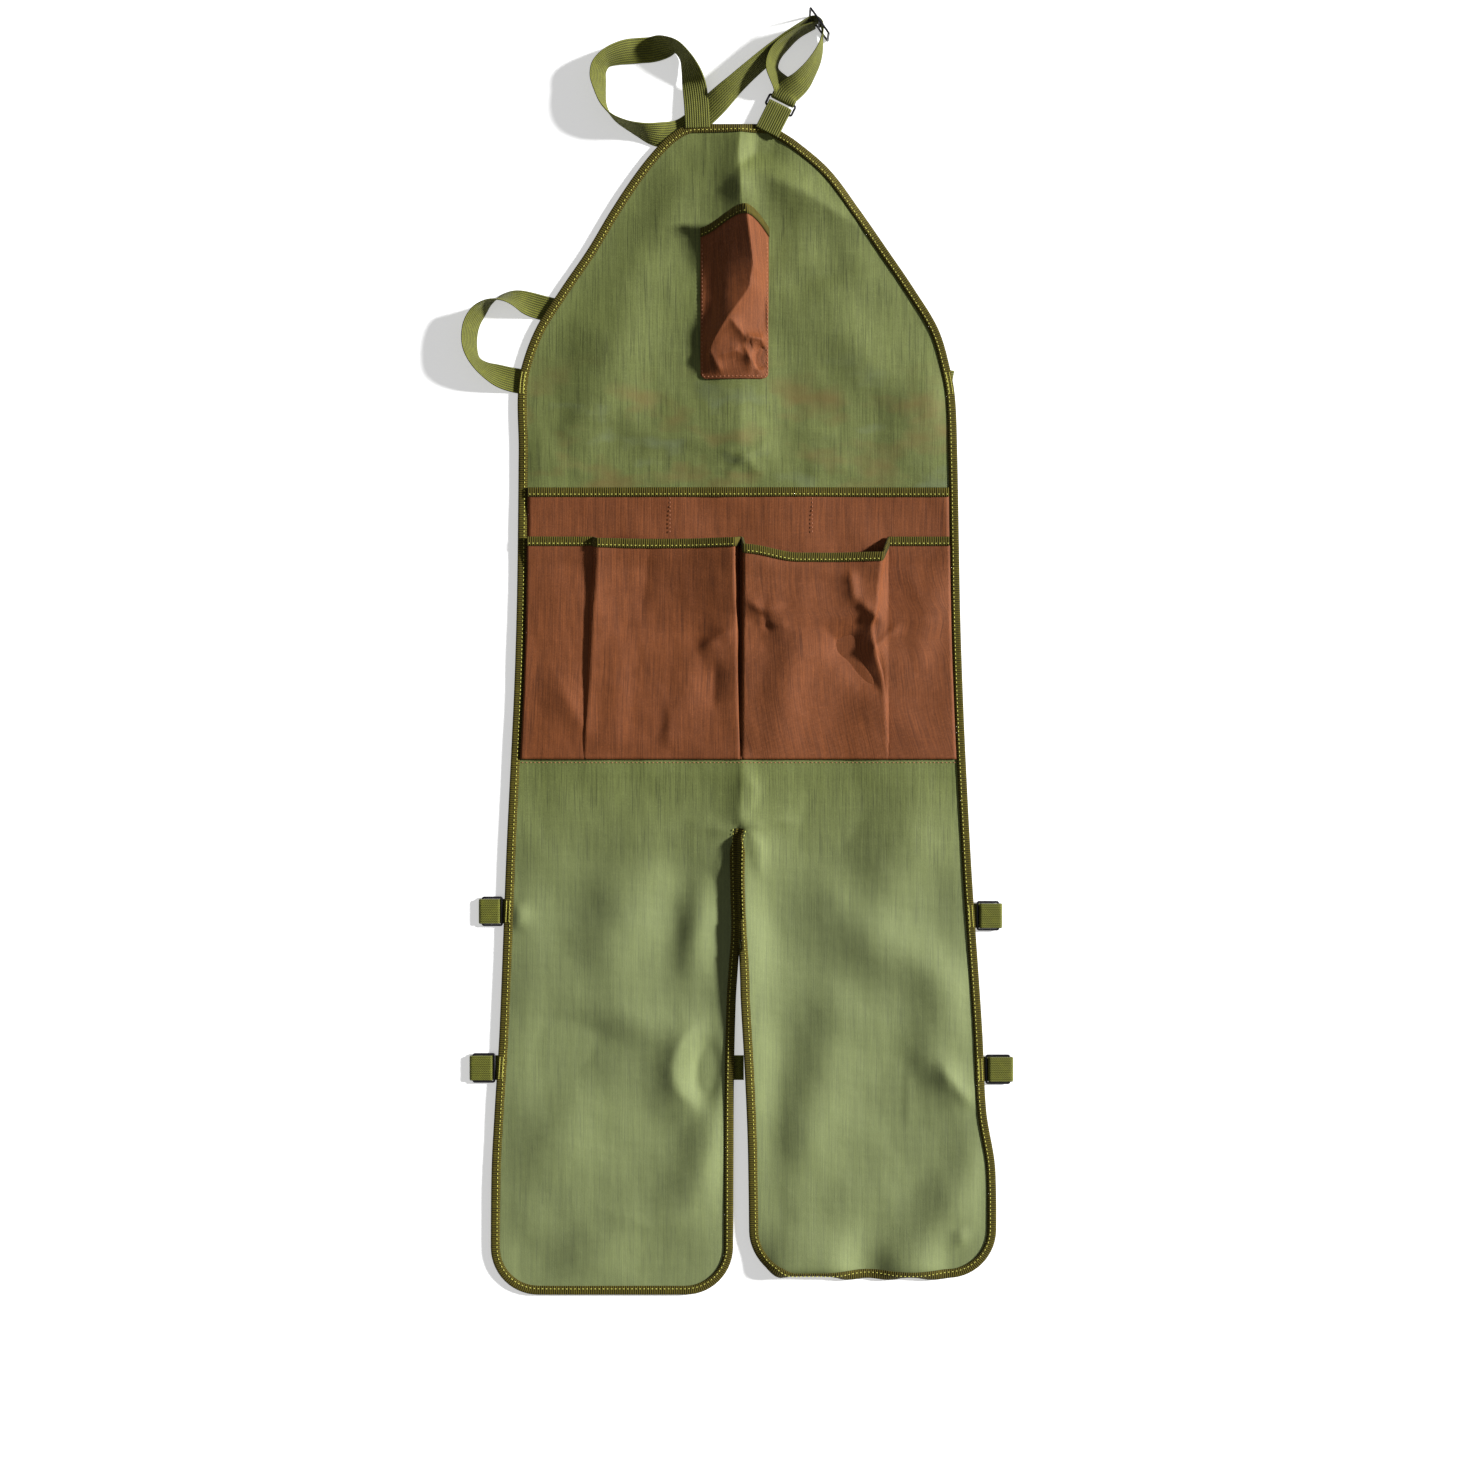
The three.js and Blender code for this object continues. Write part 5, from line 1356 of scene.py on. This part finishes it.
def leg_geometry(cut, side, down, reach):
    """Level, outermost edge, fold's middle and fold's radius of a leg strap."""
    y = cut.level(down)
    around = np.array([-1, 0, 1]) * cut.webbing_width
    edge = side * (side * cut.outer(side, y + around)).max()
    level = cut.webbing_wall + LAYER_GAP + FRAME_WALL / 2
    radius = level - cut.webbing_wall / 2
    bar = edge + side * (reach * LEG_REACH - radius - cut.webbing_wall / 2)
    return y, edge, bar, level, radius


def leg_strap(cut, side, down, reach, inner):
    """Webbing from the slit under the leg, round the buckle's outer bar and back towards the leg."""
    y, edge, bar, level, radius = leg_geometry(cut, side, down, reach)
    start = side * inner * SLIT_GAPE
    low = cut.webbing_wall / 2
    turn = np.radians(np.linspace(-90, 90, 13))
    x = np.concatenate([
        np.linspace(start, edge, 40)[:-1],
        np.linspace(edge, bar, 9)[:-1],
        bar + side * radius * np.cos(turn),
        np.linspace(bar, edge + side * 3.3, 9)[1:],
    ])
    z = np.concatenate([np.full(47, low), level + radius * np.sin(turn), np.full(8, 2 * level - low)])
    centre = np.stack([x, np.full(len(x), y), z], 1)
    return strap(cut, centre, np.broadcast_to([0.0, 1.0, 0.0], centre.shape), ease=0, rib=0.03)


def rounded_loop(length, height, radius, count=14):
    """A rectangle with rounded corners as a closed path, in its own plane."""
    turn = np.linspace(0, np.pi / 2, count)
    corners = []
    for k, (sx, sy) in enumerate(((1, 1), (-1, 1), (-1, -1), (1, -1))):
        angle = turn + k * np.pi / 2
        centre = (sx * (length / 2 - radius), sy * (height / 2 - radius))
        corners.append(np.stack([centre[0] + radius * np.cos(angle), centre[1] + radius * np.sin(angle)], 1))
    return np.concatenate(corners)


def rounded_bar(width, wall, count=16):
    """Section of a moulded bar: a rectangle drawn towards an ellipse, |x|⁴ + |y|⁴ = 1."""
    turn = np.linspace(0, 2 * np.pi, count, endpoint=False)
    c, s = np.cos(turn), np.sin(turn)
    size = (np.abs(c) ** 4 + np.abs(s) ** 4) ** -0.25
    return np.stack([c * size * width / 2, s * size * wall / 2], 1)


def moulded_frame(length, height, bars, basis, centre):
    """A frame: the bar's section carried round a rounded rectangle, with upright bars across it at
    places along its length. basis gives the directions of length, height and wall."""
    path = rounded_loop(length - FRAME_BAR, height - FRAME_BAR, FRAME_CORNER)
    ahead = unit(np.roll(path, -1, 0) - np.roll(path, 1, 0))
    outward = np.stack([ahead[:, 1], -ahead[:, 0]], 1)
    section = rounded_bar(FRAME_BAR, FRAME_WALL)
    ring = np.concatenate([
        path[:, None] + outward[:, None] * section[None, :, :1],
        np.broadcast_to(section[None, :, 1:], (len(path), len(section), 1)),
    ], -1)
    points, faces = [ring.reshape(-1, 3)], [quads(len(path), len(section), True, True)]
    ends = []
    start = ring.shape[0] * ring.shape[1]
    for place in bars:
        levels = np.linspace(-1, 1, 12)[:, None] * (height / 2 - FRAME_BAR / 2)
        shape = np.broadcast_to(section[None], (len(levels), *section.shape))
        bar = np.stack([place + shape[..., 0], np.broadcast_to(levels, shape.shape[:2]), shape[..., 1]], -1)
        points.append(bar.reshape(-1, 3))
        faces.append((quads(*shape.shape[:2], True) + start)[:, ::-1])
        ends.append((end_caps(*shape.shape[:2]) + start)[:, ::-1])
        start += bar.shape[0] * bar.shape[1]
    placed = np.concatenate(points) @ np.array(basis) + centre
    return placed, [np.concatenate(faces), *ends]


def frame_height(cut):
    """Height of a frame that takes the webbing's width."""
    return cut.webbing_width + 2 * LAYER_GAP + 2 * FRAME_BAR


def frame_piece(name, *shape):
    """A moulded frame as one piece."""
    return new_piece(name, *moulded_frame(*shape), None, finish_for("plastic"), "black_plastic")


def thread_piece(name, rows, pitch, finish="thread", slot="olive_tape", **shape):
    """Rows of stitches as one piece."""
    return new_piece(name, *stitch_rows(rows, pitch, **shape), None, finish_for(finish), slot)


class APRON_OT_panel(bpy.types.Operator):
    """Make the green cloth body with its two legs"""

    bl_idname = "apron.panel"
    bl_label = "Panel"

    def execute(self, context):
        cut = apron()
        points, faces = panel_sheet(cut)
        piece = new_piece(
            "panel_cloth", points, [faces], points[:, :2], finish_for("green"), "green_cloth",
            wall=cut.panel_wall,
        )
        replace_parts(piece, "panel")
        outline = edge_path(cut)
        return {"FINISHED"}


class APRON_OT_edge_binding(bpy.types.Operator):
    """Fold the tape round the outline and sew it down"""

    bl_idname = "apron.edge_binding"
    bl_label = "Edge Binding"

    def execute(self, context):
        cut = apron()
        piece = new_piece("edge_tape", *edge_binding(cut), finish_for("tape"), "olive_tape")
        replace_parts(piece, "edge_binding")
        path, _ = resampled(edge_path(cut), 3)
        line = path + square_to(path, 2) * (cut.tape_width - TAPE_SEAM)
        row = cut.lay(line[:, 0], line[:, 1], cut.tape_top + TAPE_LIFT)
        thread_piece("edge_stitches", [row], cut.stitch_pitch)
        tacks = []
        for side, down in [row[1:3] for row in LEG_STRAPS] + WAIST_TACKS:
            y = cut.level(down) + np.linspace(-TACK_HALF, TACK_HALF, 24)
            for inset in TACK_INSETS:
                tacks.append(cut.lay(cut.outer(side, y, inset), y, cut.tape_top + TAPE_LIFT))
        thread_piece("tack_stitches", tacks, TACK_PITCH, long=TACK_LONG)
        return {"FINISHED"}


class APRON_OT_pockets(bpy.types.Operator):
    """Make the three pockets with their taped mouths and their seams"""

    bl_idname = "apron.pockets"
    bl_label = "Pockets"

    def execute(self, context):
        cut = apron()
        lift = np.array([0, 0, SEAM_LIFT])
        rows, tape_rows = [], []
        for (name, count), kind in zip(POCKET_ROWS.items(), (BackPocket, FrontPocket, ChestPocket)):
            pocket = kind(cut)
            grid, last = pocket.sheet(count), pocket.columns - 1
            flat = spread_out(grid)
            piece = new_piece(
                f"{name}_cloth", grid, [quads(*grid.shape[:2])], flat, finish_for("brown"), "brown_cloth",
                wall=cut.pocket_wall,
            )
            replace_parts(piece, name)
            tape = new_piece(f"{name}_tape", *pocket.tape(), finish_for("tape"), "olive_tape")
            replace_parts(tape, f"{name}_binding")
            depth = float(np.max(pocket.depth(np.arange(pocket.columns))))
            column = np.linspace(0, last, MOUTH_POINTS)
            tape_row = pocket.grid(column, (cut.tape_width - MOUTH_SEAM) / pocket.depth(column))
            tape_row[:, 2] += cut.pocket_wall / 2 + LAYER_GAP + TAPE_WALL + 0.2
            tape_rows.append(tape_row)
            if name != "front_pocket":
                column = np.linspace(0, last, FOOT_POINTS)
                rows.append(pocket.grid(column, np.full(FOOT_POINTS, POCKET_SEAM)) + lift)
        for column in (1.6, last - 1.6):
            share = np.linspace(0.1, POCKET_SEAM, SIDE_POINTS)
            rows.append(pocket.grid(np.full(SIDE_POINTS, column), share) + lift)
        for x in BACK_SEAMS:
            y = np.linspace(cut.level(BACK_TOP) - 4, cut.level(FRONT_TOP) + 4, SEAM_POINTS)
            rows.append(cut.lay(np.full(SEAM_POINTS, float(x)), y, cut.back_level + 1.8))
        foot = np.full(FOOT_POINTS, cut.level(POCKET_FOOT) - FOOT_SEAM)
        x = np.linspace(*(cut.outer(side, foot[0], cut.pocket_inset) for side in (-1, 1)), FOOT_POINTS)
        rows.append(cut.lay(x, foot, cut.panel_top + 0.2))
        thread_piece("pocket_stitches", rows, cut.stitch_pitch, "brown_thread", "brown_cloth", thick=0.46)
        thread_piece("mouth_stitches", tape_rows, cut.stitch_pitch)
        return {"FINISHED"}


class APRON_OT_neck_strap(bpy.types.Operator):
    """Lay the neck strap with its tab, ring and slider"""

    bl_idname = "apron.neck_strap"
    bl_label = "Neck Strap"

    def execute(self, context):
        cut = apron()
        ware = NeckHardware(cut)
        for name, node, shape in (
            ("neck_webbing", "neck_strap", neck_strap(cut)),
            ("neck_tab_webbing", "neck_tab", neck_tab(cut)),
        ):
            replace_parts(new_piece(name, *shape, finish_for("webbing"), "webbing"), node)
        up = np.array([0, 0, 1.0])
        shape = RING_LENGTH, RING_SLOT + 2 * FRAME_BAR, []
        piece = frame_piece("neck_loop", *shape, (ware.ring_axis, -ware.ring_down, up), ware.ring)
        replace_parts(piece, "neck_ring")
        height = frame_height(cut)
        basis, centre = (ware.slider_axis, up, -ware.slider_out), ware.slider + up * height / 2
        piece = frame_piece("neck_slide", SLIDER_LENGTH, height, [0.0], basis, centre)
        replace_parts(piece, "neck_slider")
        return {"FINISHED"}


class APRON_OT_waist_strap(bpy.types.Operator):
    """Lay the waist strap in its loop and under the bib"""

    bl_idname = "apron.waist_strap"
    bl_label = "Waist Strap"

    def execute(self, context):
        piece = new_piece("waist_webbing", *waist_strap(apron()), finish_for("webbing"), "webbing")
        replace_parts(piece, "waist_strap")
        return {"FINISHED"}


class APRON_OT_leg_straps(bpy.types.Operator):
    """Lay the four leg straps round their buckles"""

    bl_idname = "apron.leg_straps"
    bl_label = "Leg Straps"

    def execute(self, context):
        cut = apron()
        for name, side, down, reach, inner in LEG_STRAPS:
            shape = leg_strap(cut, side, down, reach, inner)
            piece = new_piece(f"leg_webbing_{name}", *shape, finish_for("tab_webbing"), "webbing")
            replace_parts(piece, f"leg_strap_{name}")
            y, edge, bar, level, _ = leg_geometry(cut, side, down, reach)
            near = edge + side * LAYER_GAP
            shape = abs(bar - near), frame_height(cut), []
            centre = np.array([(bar + near) / 2, y, level])
            piece = frame_piece(f"leg_frame_{name}", *shape, np.eye(3), centre)
            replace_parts(piece, f"leg_buckle_{name}")
        return {"FINISHED"}


class APRON_OT_stage(bpy.types.Operator):
    """Set up the pale floor, the soft lights and the camera straight above"""

    bl_idname = "apron.stage"
    bl_label = "Stage"

    def execute(self, context):
        scene = context.scene
        finish = Finish("pale floor", 0.9)
        finish.set(
            Base_Color=(*scene.apron_colours.floor, 1), Emission_Color=(1, 1, 1, 1),
            Emission_Strength=FLOOR_GLOW,
        )
        mesh = bpy.data.meshes.new("floor")
        corners = ((-1, -1), (1, -1), (1, 1), (-1, 1))
        mesh.from_pydata([(x * FLOOR_HALF, y * FLOOR_HALF, 0) for x, y in corners], [], [(0, 1, 2, 3)])
        mesh.materials.append(finish.material)
        floor = bpy.data.objects.new("floor", mesh)
        scene.collection.objects.link(floor)
        for name, heading, elevation, strength, spread in LAMPS:
            lamp = bpy.data.lights.new(name, "SUN")
            lamp.energy = strength
            lamp.angle = math.radians(spread)
            light = bpy.data.objects.new(name, lamp)
            light.rotation_euler = (math.radians(90 - elevation), 0, math.radians(90 + heading))
            scene.collection.objects.link(light)
        world = bpy.data.worlds.new("soft room")
        world.use_nodes = True
        background = world.node_tree.nodes["Background"].inputs
        background["Color"].default_value = (1, 1, 1, 1)
        background["Strength"].default_value = ROOM_LIGHT
        scene.world = world
        scene.view_settings.view_transform = "Standard"
        camera = bpy.data.cameras.new("camera")
        camera.sensor_width = SENSOR
        camera.lens = SENSOR * CAMERA[2] / VIEW_WIDTH
        camera.clip_end = 20
        eye = bpy.data.objects.new("camera", camera)
        eye.location = CAMERA
        scene.collection.objects.link(eye)
        scene.camera = eye
        return {"FINISHED"}


OPERATORS = (
    APRON_OT_stage,
    APRON_OT_waist_strap,
    APRON_OT_leg_straps,
    APRON_OT_panel,
    APRON_OT_edge_binding,
    APRON_OT_pockets,
    APRON_OT_neck_strap,
)


class APRON_PT_sidebar(bpy.types.Panel):
    """Sizes, colours and the steps that make the apron"""

    bl_idname = "APRON_PT_sidebar"
    bl_label = "Gardening Apron"
    bl_space_type = "VIEW_3D"
    bl_region_type = "UI"
    bl_category = "Apron"

    def draw(self, context):
        for group in (context.scene.apron_sizes, context.scene.apron_colours):
            box = self.layout.box()
            for name in group.__annotations__:
                box.prop(group, name)
        for operator in OPERATORS:
            self.layout.operator(operator.bl_idname)


CLASSES = (ApronSizes, ApronColours, *OPERATORS, APRON_PT_sidebar)


def register():
    for made in CLASSES:
        bpy.utils.register_class(made)
    bpy.types.Scene.apron_sizes = bpy.props.PointerProperty(type=ApronSizes)
    bpy.types.Scene.apron_colours = bpy.props.PointerProperty(type=ApronColours)


def unregister():
    del bpy.types.Scene.apron_colours
    del bpy.types.Scene.apron_sizes
    for made in reversed(CLASSES):
        bpy.utils.unregister_class(made)


def main():
    """Make the whole apron."""
    register()
    for operator in OPERATORS:
        group, name = operator.bl_idname.split(".")
        getattr(getattr(bpy.ops, group), name)()


if __name__ == "__main__":
    main()
